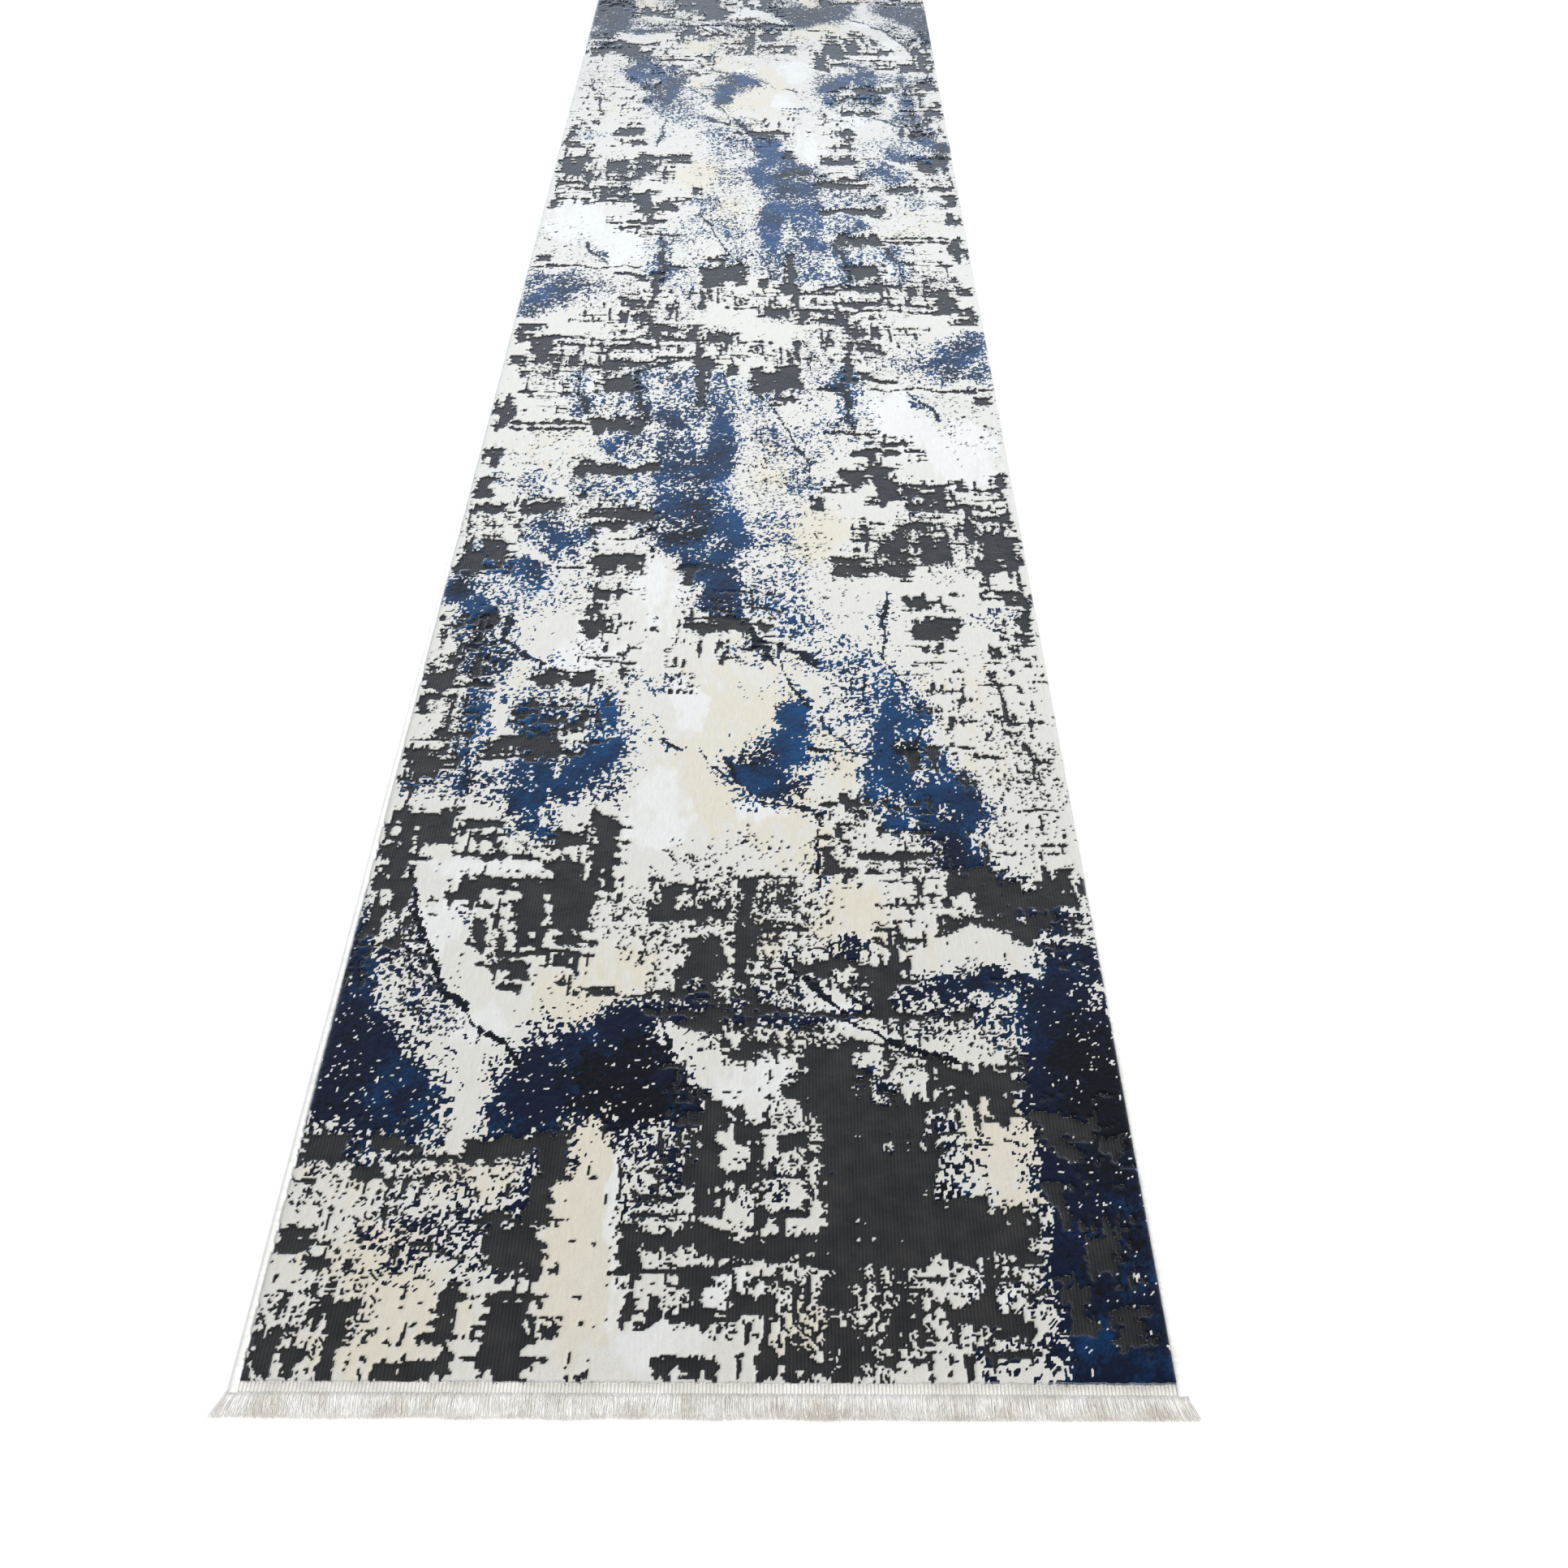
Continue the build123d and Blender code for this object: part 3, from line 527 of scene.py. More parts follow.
# Faint dark specks over the light pile: x, y, radius across, radius along, turn, share
darkSpecks = [
    (-33, -158, 9, 8, 0, 0.24), (-35, -169, 6, 6, 0, 0.26), (-26, -153, 8, 4, 0, 0.24),
    (33, -104, 7, 14, 0, 0.14), (12, -168, 8, 6, 0, 0.36), (25, -165, 6, 7, 0, 0.36),
    (2, -166, 8, 6, 0, 0.16), (0, -138, 10, 6, 0, 0.34), (6, -140, 8, 3, 0, 0.3),
    (22, -139, 8, 4, 0, 0.24), (-30, -133, 5, 8, 0, 0.3), (12, -150, 8, 8, 0, 0.2),
    (30, -130, 8, 8, 0, 0.2), (2, -117, 9, 4, 0, 0.16), (-6, -160, 4, 10, 0, 0.2),
    (-12, -165, 3, 8, 0, 0.06), (4, -124, 8, 5, 0, 0.3), (-28, -36, 9, 7, 0, 0.16),
    (4, -42, 8, 12, 0, 0.2), (34, -30, 7, 12, 0, 0.12), (10, -52, 7, 5, 0, 0.12),
    (30, -92, 9, 16, 0, 0.07), (14, -70, 6, 8, 0, 0.08), (-34, -86, 5, 14, 0, 0.25),
    (-16, -78, 6, 14, 0, 0.14), (26, -12, 8, 8, 0, 0.2), (12, -8, 8, 8, 0, 0.16),
    (-26, -12, 10, 8, 0, 0.2), (-8, -3, 10, 5, 0, 0.12), (18, -112, 8, 8, 0, 0.14),
    (-34, -56, 6, 6, 0, 0.25), (-24, -48, 8, 8, 0, 0.2), (0, -30, 8, 12, 0, 0.16),
    (8, -62, 6, 6, 0, 0.16), (26, -60, 10, 8, 0, 0.2), (-8, -126, 8, 6, 0, 0.2),
    (14, -100, 6, 6, 0, 0.16),
]

def roundArea(x, y, cx, cy, rx, ry, turn):
    # 1 at the middle of a turned ellipse and 0 at its rim, below 0 outside
    a = np.radians(turn)
    u = (x - cx) * np.cos(a) + (y - cy) * np.sin(a)
    v = -(x - cx) * np.sin(a) + (y - cy) * np.cos(a)
    return 1 - np.sqrt((u / rx)**2 + (v / ry)**2)

def strongest(x, y, areas, soft):
    # at each cell the strongest of the areas, fading over the outer part of each
    best = np.zeros_like(x)
    for cx, cy, rx, ry, turn, share in areas:
        near = roundArea(x, y, cx, cy, rx, ry, turn)
        best = np.maximum(best, share * np.clip(near / soft + 0.45, 0, 1))
    return best

def insideDepth(x, y, block):
    # how far a cell is inside a block, in centimetres, below 0 outside
    left, right, low, high = block[:4]
    return np.minimum(np.minimum(x - left, right - x), np.minimum(y - low, high - y))

def veinDistance(x, y, points):
    # distance to a broken line, in centimetres
    best = np.full_like(x, 99.0)
    for (ax, ay), (bx, by) in zip(points[:-1], points[1:]):
        dx = bx - ax
        dy = by - ay
        t = np.clip(((x - ax) * dx + (y - ay) * dy) / (dx * dx + dy * dy), 0, 1)
        best = np.minimum(best, np.hypot(x - ax - t * dx, y - ay - t * dy))
    return best

def trailDepth(x, y, trail):
    # how far a cell is inside a band whose half width changes from point to point, below 0 outside
    best = np.full_like(x, -99.0)
    for (ax, ay, ar), (bx, by, br) in zip(trail[:-1], trail[1:]):
        dx = bx - ax
        dy = by - ay
        t = np.clip(((x - ax) * dx + (y - ay) * dy) / (dx * dx + dy * dy), 0, 1)
        best = np.maximum(best, ar + t * (br - ar) - np.hypot(x - ax - t * dx, y - ay - t * dy))
    return best

def hatchField(x, y, clump):
    # strokes across and along the rug at two sizes, the stronger of each pair, as if brushed over cloth
    large = np.maximum(valueNoise(x, y, 3.0, 0.6, 11), valueNoise(x, y, 0.6, 2.6, 12))
    small = np.maximum(valueNoise(x, y, 1.3, 0.34, 13), valueNoise(x, y, 0.34, 1.3, 14))
    return evenSpread(0.55 * large + 0.4 * small + 0.12 * clump)

def charcoalShare(wx, wy):
    # the share of charcoal tufts: it rises from the rim of a block inwards, meshes add a thin share of their
    # own, and light blocks take it away again
    share = np.zeros_like(wx)
    for block in charcoalBlocks:
        size = min(block[1] - block[0], block[3] - block[2])
        soft = np.clip(0.3 * size, 0.35, 1.1)
        share = np.maximum(share, np.clip(0.47 + insideDepth(wx, wy, block) / (2 * soft), 0, 0.985))
    for left, right, low, high, most in charcoalMesh:
        depth = insideDepth(wx, wy, (left, right, low, high))
        share = np.maximum(share, most * np.clip(depth / 2.5 + 0.3, 0, 1))
    for block in lightBlocks:
        share = np.minimum(share, np.clip(0.5 - insideDepth(wx, wy, block) / 0.6, 0.03, 1))
    return share

def blueShareOf(bx, by, wx, wy, mottle, patchy):
    # the share of blue tufts: clouds, and bands that are nearly solid towards the near end of the rug
    share = 0.9 * strongest(bx, by, blueClouds, 0.7) * patchy
    for trail in blueTrails:
        rim = np.clip(0.5 + trailDepth(wx, wy, trail) / 2.2, 0, 1)
        body = 0.94 + 0.06 * mottle if trail[-1][1] < -123 else 0.70 + 0.44 * mottle
        share = np.maximum(share, rim * body)
    return share

def wovenDesign():
    # for each tuft of the near half its yarn, 0 light, 1 blue, 2 black or 3 charcoal, and how beige and how
    # white its light yarn is; distances are in centimetres, and two bent grids keep the edges uneven
    columns = int(round(round(2 * halfPile, 6) / tuftPitch)) + 1
    rows = int(round(round(pileEnd, 6) / tuftPitch)) + 1
    xs = np.linspace(-round(halfPile, 6), round(halfPile, 6), columns) * 100
    ys = np.linspace(-round(pileEnd, 6), 0, rows) * 100
    x, y = np.meshgrid(xs, ys)
    rng = np.random.default_rng(7)
    white = rng.random(x.shape)
    grain = evenSpread(blurOnce(rng.random(x.shape)) + 0.22 * white)
    clump = evenSpread(blurOnce(rng.random(x.shape)) + 0.35 * white)
    hatch = hatchField(x, y, clump)
    wx = x + 2.0 * (layeredNoise(x, y, 4.0, 3, 21) - 0.5)
    wy = y + 2.0 * (layeredNoise(x, y, 4.0, 3, 31) - 0.5)
    bx = x + 5.0 * (layeredNoise(x, y, 6.0, 4, 41) - 0.5)
    by = y + 5.0 * (layeredNoise(x, y, 6.0, 4, 51) - 0.5)
    clear = np.zeros_like(x)
    for ribbon in clearRibbons:
        clear = np.maximum(clear, np.clip(0.5 + trailDepth(wx, wy, ribbon) / 1.2, 0, 0.86))
    charcoal = hatch > 1 - charcoalShare(wx, wy) * (1 - clear)
    mottle = evenSpread(layeredNoise(x, y, 3.4, 5, 61))
    patchy = 0.35 + 1.0 * mottle
    blueShare = blueShareOf(bx, by, wx, wy, mottle, patchy)
    blackShare = strongest(bx, by, blackCores, 0.7) * (0.5 + 0.9 * mottle)
    speckShare = strongest(bx, by, darkSpecks, 0.7) * patchy * (1 - clear)
    breaks = evenSpread(layeredNoise(x, y, 2.6, 4, 65))
    core = np.zeros_like(x)
    for points, width in veins:
        d = veinDistance(wx, wy, points) / (width * (0.15 + 0.9 * breaks))
        blueShare = np.maximum(blueShare, 0.4 * np.exp(-d / 3))
        blackShare = np.maximum(blackShare, np.clip(1.3 - d, 0, 0.9))
        core = np.maximum(core, np.clip(1.35 - 0.9 * d, 0, 1) * 0.96)
    # a vein runs on through a clear ribbon, but the blue haze beside it doesn't
    blueShare = np.maximum(blueShare * (1 - clear), core)
    # each share becomes single tufts where it beats an evenly spread random field
    blue = np.minimum(blueShare, 0.985) > 0.03 + 0.97 * grain
    black = (np.minimum(blackShare, 0.96) > 0.04 + 0.96 * clump) & blue
    specks = speckShare > 0.04 + 0.96 * evenSpread(clump + 0.2 * hatch)
    yarn = np.zeros(x.shape)
    for mask, number in ((specks, 3), (blue, 1), (black, 2), (charcoal, 3)):
        yarn[mask] = number
    wash = layeredNoise(x, y, 7.0, 4, 81)
    fray = 0.7 * (valueNoise(x, y, 0.7, 2.8, 85) - 0.5) + 0.5 * (layeredNoise(x, y, 1.2, 3, 86) - 0.5)
    tones = []
    for areas, least in ((beigeClouds, 0.49), (whitePatches, 0.36)):
        tone = strongest(bx, by, areas, 0.8) * (0.4 + 1.2 * wash) + fray
        tones.append(np.clip((tone - least) / 0.3, 0, 1) * np.clip(0.5 + 0.8 * wash, 0, 1))
    return yarn, tones[0], tones[1]

# Pile
pile = {
    "strips": 8,
    "blur": 0.25,  # how far the cut between high and low pile is softened
    "tuftJitter": 0.00016,
    "sideJitter": 0.00032,
    "undulation": 0.00035,
    "edgeDrop": 0.0012,
    "edgeWidth": 0.006,
    "stillEdge": 0.002,  # tufts nearer than this to the border keep their places
    "endLean": 0.0022,
    "leanReach": 0.008,
    "hairGap": 0.00005,
    "tipTufts": 900,
    "tipSteps": 4,
    "tipSides": 3,
    "tipRadius": 0.00065,
}

def turnedWhole(nearHalf):
    # both halves of a field: the far half is the near half turned half round, and the middle row is shared
    return np.concatenate([nearHalf, nearHalf[::-1, ::-1][1:]])

print("working out the design")
yarnHalf, beigeHalf, brightHalf = wovenDesign()
yarnField = turnedWhole(yarnHalf)
beigeField = turnedWhole(beigeHalf)
brightField = turnedWhole(brightHalf)
rowCount, columnCount = yarnField.shape
acrossX = np.linspace(-halfPile, halfPile, columnCount)
alongY = np.linspace(-pileEnd, pileEnd, rowCount)
pileX, pileY = np.meshgrid(acrossX, alongY)

def nearestTuft(x, y):
    # the row and column of the tuft nearest to each point
    row = np.round((y + pileEnd) / (2 * pileEnd) * (rowCount - 1)).astype(int)
    column = np.round((x + halfPile) / (2 * halfPile) * (columnCount - 1)).astype(int)
    return np.clip(row, 0, rowCount - 1), np.clip(column, 0, columnCount - 1)

def pileSurface():
    # height is the low top on charcoal and the high top elsewhere, softened a little at the cut, plus a slow
    # undulation and a random height for each tuft, less a drop at the borders; the end rows lean outwards
    rng = np.random.default_rng(101)
    charcoal = (yarnField == 3).astype(float)
    cut = (1 - pile["blur"]) * charcoal + pile["blur"] * blurOnce(charcoal)
    slow = layeredNoise(pileX, pileY, 0.012, 3, 103) - 0.5
    streaks = valueNoise(pileX, pileY, 0.004, 0.03, 107) - 0.5
    jitter = rng.normal(0, 1, cut.shape).clip(-2, 2) * pile["tuftJitter"]
    border = np.minimum(halfPile - np.abs(pileX), pileEnd - np.abs(pileY))
    drop = pile["edgeDrop"] * np.clip(1 - border / pile["edgeWidth"], 0, 1)**2
    z = highTop - pile["undulation"] - (highTop - lowTop) * cut
    z = z + 2 * pile["undulation"] * (0.6 * slow + 0.4 * streaks) + jitter - drop
    z = np.minimum(z, highTop)
    inside = np.clip(border / pile["stillEdge"], 0, 1)
    x = pileX + rng.uniform(-1, 1, cut.shape) * pile["sideJitter"] * inside
    y = pileY + rng.uniform(-1, 1, cut.shape) * pile["sideJitter"] * inside
    lean = np.clip(1 - (pileEnd - np.abs(pileY)) / pile["leanReach"], 0, 1)
    ragged = 0.5 + layeredNoise(pileX, pileY, 0.006, 2, 109)
    y = y + np.sign(pileY) * lean**1.5 * pile["endLean"] * ragged
    return x, y, z

def pileMaterial():
    # light yarn is cream, washed with beige and white; blue, black and charcoal replace it where their
    # channel plus a noise passes a threshold; fibres and streaks multiply the colour, and painted shade in the
    # rib grooves and painted shadow on the walls at the cuts darken it
    look = {
        "cream": colour(202, 200, 194),
        "beige": colour(202, 196, 181),
        "white": colour(210, 210, 208),
        "navy": colour(5, 14, 37),
        "blue": colour(3, 58, 102),
        "black": colour(2, 3, 8),
        "charcoal": colour(37, 37, 38),
        "charcoalWorn": colour(51, 50, 49),
        "ribPitch": 0.00327,
        "paintedWallShadow": 0.5,  # how dark the walls at the cut are painted, as painted shadow in the gap between high and low pile
    }
    tint = colour(226, 238, 255)
    material, tree, shader = newMaterial("cutPile", 0.92, 1.0, 0.40, tint, specular=0.06)
    place = addNode(tree, "ShaderNodeTexCoord", {}).outputs["Object"]
    charcoal, blue, black = splitOf(tree, "yarns")[:3]
    beige, bright, blueTone = splitOf(tree, "washes")[:3]
    fibre = noiseOf(tree, place, 1300.0, 2.0, 0.6)
    tuft = noiseOf(tree, place, 480.0, 2.0, 0.55)
    cloud = noiseOf(tree, place, 45.0, 3.0, 0.55)
    streak = noiseOf(tree, stretched(tree, place, (420.0, 60.0, 100.0)), 1.0, 2.0)
    wobble = mathOf(tree, "MULTIPLY_ADD", tuft, 0.5, -0.25)
    wobble = mathOf(tree, "ADD", wobble, mathOf(tree, "MULTIPLY_ADD", fibre, 0.3, -0.15))
    masks = []
    for channel, low, high in ((charcoal, 0.40, 0.58), (blue, 0.34, 0.56), (black, 0.40, 0.65)):
        masks.append(rangeOf(tree, mathOf(tree, "ADD", channel, wobble), low, high, smooth=True))
    light = mixOf(tree, beige, look["cream"], look["beige"])
    light = mixOf(tree, bright, light, look["white"])
    blueTone = mathOf(tree, "ADD", blueTone, mathOf(tree, "MULTIPLY_ADD", cloud, 0.6, -0.3))
    blues = mixOf(tree, rangeOf(tree, blueTone, 0.38, 0.88), look["navy"], look["blue"])
    base = mixOf(tree, masks[1], light, blues)
    base = mixOf(tree, masks[2], base, look["black"])
    greys = mixOf(tree, rangeOf(tree, cloud, 0.35, 0.7), look["charcoal"], look["charcoalWorn"])
    across = addNode(tree, "ShaderNodeSeparateXYZ", {"Vector": place}).outputs["X"]
    rib = mathOf(tree, "SINE", mathOf(tree, "MULTIPLY", across, 2 * np.pi / look["ribPitch"]))
    # painted shade in the grooves between the ribs of the low pile, and painted light on their crests
    greys = shaded(tree, greys, rangeOf(tree, rib, -1.0, 0.6, 0.68, 1.10))
    base = mixOf(tree, masks[0], base, greys)
    # painted shadow: the colour is darkened along the walls where high pile meets the low charcoal pile, for the
    # shade that falls in the gap between tufts
    wall = mathOf(tree, "ABSOLUTE", mathOf(tree, "MULTIPLY_ADD", charcoal, 2.0, -1.0))
    base = shaded(tree, base, rangeOf(tree, wall, 0.0, 0.75, look["paintedWallShadow"], 1.0))
    base = shaded(tree, base, rangeOf(tree, fibre, 0.3, 0.7, 0.86, 1.05))
    base = shaded(tree, base, rangeOf(tree, streak, 0.3, 0.7, 0.95, 1.03))
    ribHeight = mathOf(tree, "MULTIPLY", mathOf(tree, "MULTIPLY", rib, masks[0]), 0.35)
    fineHeight = mathOf(tree, "MULTIPLY_ADD", fibre, 0.6, ribHeight)
    height = mathOf(tree, "MULTIPLY_ADD", tuft, 0.9, fineHeight)
    finishShader(tree, shader, base, height, 0.00045, 0.8)
    return material

print("making the pile")
surfaceX, surfaceY, surfaceZ = pileSurface()
rng = np.random.default_rng(131)
isBlue = (yarnField == 1) | (yarnField == 2)
yarnChannels = np.stack([yarnField == 3, isBlue, yarnField == 2], axis=-1).astype(float)
# the blue is painted deeper towards both ends of the rug and brighter in the middle: partly the yarn's own tone,
# partly painted shade for the darker look of blue pile seen from steeply above
nearEnds = np.clip((np.abs(pileY) - 1.05) / 0.2, 0, 1)
blueTone = 0.25 * rng.random(yarnField.shape) + 0.75 * layeredNoise(pileX, pileY, 0.05, 4, 137)
blueTone = blueTone + 0.16 - 0.34 * nearEnds
washChannels = np.stack([beigeField, brightField, np.clip(blueTone, 0, 1)], axis=-1)
cutPile = pileMaterial()
pilePieces = []

def withBorder(field):
    # the values of a slab's top grid, then those of its lower border in the same order as its points
    border = np.concatenate([field[0], field[-1], field[1:-1, 0], field[1:-1, -1]])
    return np.concatenate([field.reshape(-1, 3), border])

stripRows = np.round(np.linspace(0, rowCount - 1, pile["strips"] + 1)).astype(int)
for number, (first, last) in enumerate(zip(stripRows[:-1], stripRows[1:])):
    # the end rows are doubled a hair's width inside, so that the walls don't tilt the shading of the pile
    rows = np.concatenate([[first], np.arange(first, last + 1), [last]])
    stripY = surfaceY[rows]
    stripY[1] += pile["hairGap"]
    stripY[-2] -= pile["hairGap"]
    piece = slabPiece(f"pileStrip{number + 1}", surfaceX[rows], stripY, surfaceZ[rows], groundTop)
    addColours(piece, "yarns", withBorder(yarnChannels[rows]))
    addColours(piece, "washes", withBorder(washChannels[rows]))
    piece.data.materials.append(cutPile)
    bodies = rideThird(piece, pileY[first, 0], pileY[last, 0])
    replaceNodes(piece, bodies, "raised_pile", "charcoal_low_pile")
    pilePieces.append(piece)

# Ground weave and size coat
ground = {
    "cuts": 4,
    "clothStep": 0.020,
    "coatStep": 0.010,
    "coatColumns": 67,
    "tongue": 0.3965,
    "tongueLow": 0.0010,
    "tongueHigh": 0.0020,
}

def lengthRows(y0, y1, step):
    # row places along the rug, closer together where the rug folds
    rows = set(np.round(np.linspace(y0, y1, int(round((y1 - y0) / step)) + 1), 6))
    rows |= {round(y0 + pile["hairGap"], 6), round(y1 - pile["hairGap"], 6)}
    reach = fold["fineReach"]
    for side in (-1, 1):
        centre = side * foldY
        if y0 < centre < y1:
            rows = {y for y in rows if abs(y - centre) > reach}
            fine = np.arange(centre - reach, centre + reach + 0.0001, fold["fineStep"])
            rows |= set(np.round(fine, 6))
    return np.array(sorted(rows))

def sweptPiece(name, profileX, profileZ, rows, offsets=None):
    # a closed outline in X and Z carried along the rows, with a face over either end; offsets move points
    columns = len(profileX)
    x = np.broadcast_to(profileX, (len(rows), columns))
    z = np.broadcast_to(profileZ, (len(rows), columns))
    y = np.broadcast_to(rows[:, None], x.shape)
    points = np.stack([x, y, z], axis=-1)
    if offsets is not None:
        points = points + offsets
    ends = np.arange(columns)
    caps = np.stack([ends, ends[::-1] + (len(rows) - 1) * columns])
    sides = gridFaces(len(rows), columns, closeColumns=True)[:, ::-1]
    return makePiece(name, points.reshape(-1, 3), [caps, sides], flatGroups=(0,))

def weaveOf(tree, place, pitchX, pitchY):
    # a plain weave: yarns along X and Y pass over each other by turns, as the product of two sines decides
    parts = addNode(tree, "ShaderNodeSeparateXYZ", {"Vector": place}).outputs
    waveX = mathOf(tree, "SINE", mathOf(tree, "MULTIPLY", parts["X"], np.pi / pitchX))
    waveY = mathOf(tree, "SINE", mathOf(tree, "MULTIPLY", parts["Y"], np.pi / pitchY))
    over = rangeOf(tree, mathOf(tree, "MULTIPLY", waveX, waveY), -0.15, 0.15)
    crownX = mathOf(tree, "ABSOLUTE", waveX)
    crownY = mathOf(tree, "ABSOLUTE", waveY)
    first = mathOf(tree, "MULTIPLY", crownX, over)
    second = mathOf(tree, "MULTIPLY", crownY, mathOf(tree, "SUBTRACT", 1.0, over))
    height = mathOf(tree, "ADD", first, second)
    return rangeOf(tree, height, 0.15, 0.8, smooth=True), height

def groundMaterial():
    # the weave mixes a shadow colour into a yarn colour, and fine noise shades both
    look = {"yarn": colour(206, 196, 176), "shadow": colour(150, 138, 118), "pitch": 0.0016}
    material, tree, shader = newMaterial("groundWeaveCloth", 0.9, sheen=0.1)
    place = addNode(tree, "ShaderNodeTexCoord", {}).outputs["Object"]
    weave, height = weaveOf(tree, place, look["pitch"], look["pitch"])
    base = mixOf(tree, weave, look["shadow"], look["yarn"])
    base = shaded(tree, base, rangeOf(tree, noiseOf(tree, place, 700.0), 0.3, 0.7, 0.9, 1.06))
    finishShader(tree, shader, base, height, 0.0004)
    return material

def coatMaterial():
    # the weave mixes painted shadow into the jute where the yarns dip, the design shows through in grey, and latex
    # lies over both in blotches
    look = {
        "jute": colour(196, 178, 146),
        "weaveShadow": colour(120, 104, 82),
        "latex": colour(214, 206, 190),
        "ghost": colour(110, 104, 100),
        "pitchX": 0.0033,
        "pitchY": 0.0025,
    }
    material, tree, shader = newMaterial("sizedBack", 0.72, sheen=0.05)
    place = addNode(tree, "ShaderNodeTexCoord", {}).outputs["Object"]
    weave, height = weaveOf(tree, place, look["pitchX"], look["pitchY"])
    fine = noiseOf(tree, place, 900.0, 2.0, 0.6)
    blotch = noiseOf(tree, place, 26.0, 4.0, 0.6)
    ghost = splitOf(tree, "yarns")
    # painted shadow in the hollows of the weave, where neither yarn crowns
    base = mixOf(tree, weave, look["weaveShadow"], look["jute"])
    design = mathOf(tree, "ADD", ghost[0], mathOf(tree, "MULTIPLY", ghost[1], 0.8))
    design = mathOf(tree, "ADD", design, mathOf(tree, "MULTIPLY_ADD", fine, 0.5, -0.25))
    design = rangeOf(tree, design, 0.3, 0.7, 0.0, 0.5, smooth=True)
    base = mixOf(tree, design, base, look["ghost"])
    base = mixOf(tree, rangeOf(tree, blotch, 0.45, 0.7, 0.1, 0.45), base, look["latex"])
    base = shaded(tree, base, rangeOf(tree, fine, 0.3, 0.7, 0.88, 1.06))
    finishShader(tree, shader, base, mathOf(tree, "MULTIPLY_ADD", fine, 0.25, height), 0.0005)
    return material

def clothOutline():
    # the cloth cut across: full thickness under the pile, and a thin tongue at each edge for the serging
    tip, low, high = ground["tongue"], ground["tongueLow"], ground["tongueHigh"]
    lower = [(halfPile, groundLow.z), (halfPile, low), (tip, low)]
    right = lower + [(tip, high), (halfPile, high), (halfPile, groundTop)]
    left = [(-x, z) for x, z in right[::-1]]
    return np.array(right + left).T

print("making the ground weave and the size coat")
groundCloth = groundMaterial()
sizedBack = coatMaterial()
groundPieces = []
coatCuts = np.linspace(-groundEnd, groundEnd, ground["cuts"] + 1)
cutNames = ("Near", "NearMiddle", "FarMiddle", "Far")
outlineX, outlineZ = clothOutline()
for name, y0, y1 in zip(cutNames, coatCuts[:-1], coatCuts[1:]):
    piece = sweptPiece("groundWeave" + name, outlineX, outlineZ, lengthRows(y0, y1, ground["clothStep"]))
    piece.data.polygons.foreach_set("use_smooth", np.zeros(len(piece.data.polygons), bool))
    piece.data.materials.append(groundCloth)
    bodies = rideThird(piece, y0, y1)
    replaceNodes(piece, bodies, "ground_weave")
    groundPieces.append((piece, y1 - y0))
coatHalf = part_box("near_size_coat")[1].x
coatPieces = []
for name, y0, y1 in zip(cutNames, coatCuts[:-1], coatCuts[1:]):
    columns = np.linspace(-coatHalf, coatHalf, ground["coatColumns"])
    x, y = np.meshgrid(columns, lengthRows(y0, y1, ground["coatStep"]))
    z = 0.00015 + 0.00012 * (layeredNoise(x, y, 0.02, 3, 151) - 0.5)
    piece = slabPiece("sizeCoat" + name, x, y, z, coatTop)
    addColours(piece, "yarns", withBorder(yarnChannels[nearestTuft(x, y)]))
    piece.data.flip_normals()
    piece.data.materials.append(sizedBack)
    bodies = rideThird(piece, y0, y1)
    replaceNodes(piece, bodies, "size_coat")
    coatPieces.append(piece)

# Serged edges
serging = {
    "step": 0.0009,
    "wrapPitch": 0.0021,
    "wrapDepth": 0.00028,
    "slant": 1.1,  # how many wraps a thread moves along while it goes once round
    "slotDepth": 0.0042,
    "slotPlay": 0.0001,
    "openAngle": 162,  # where the round skin ends at the slot, in degrees either way from outwards
    "roundPoints": 11,
    "squareness": 2.6,  # 2 is an ellipse, more is boxier
    "sway": 0.0004,
}

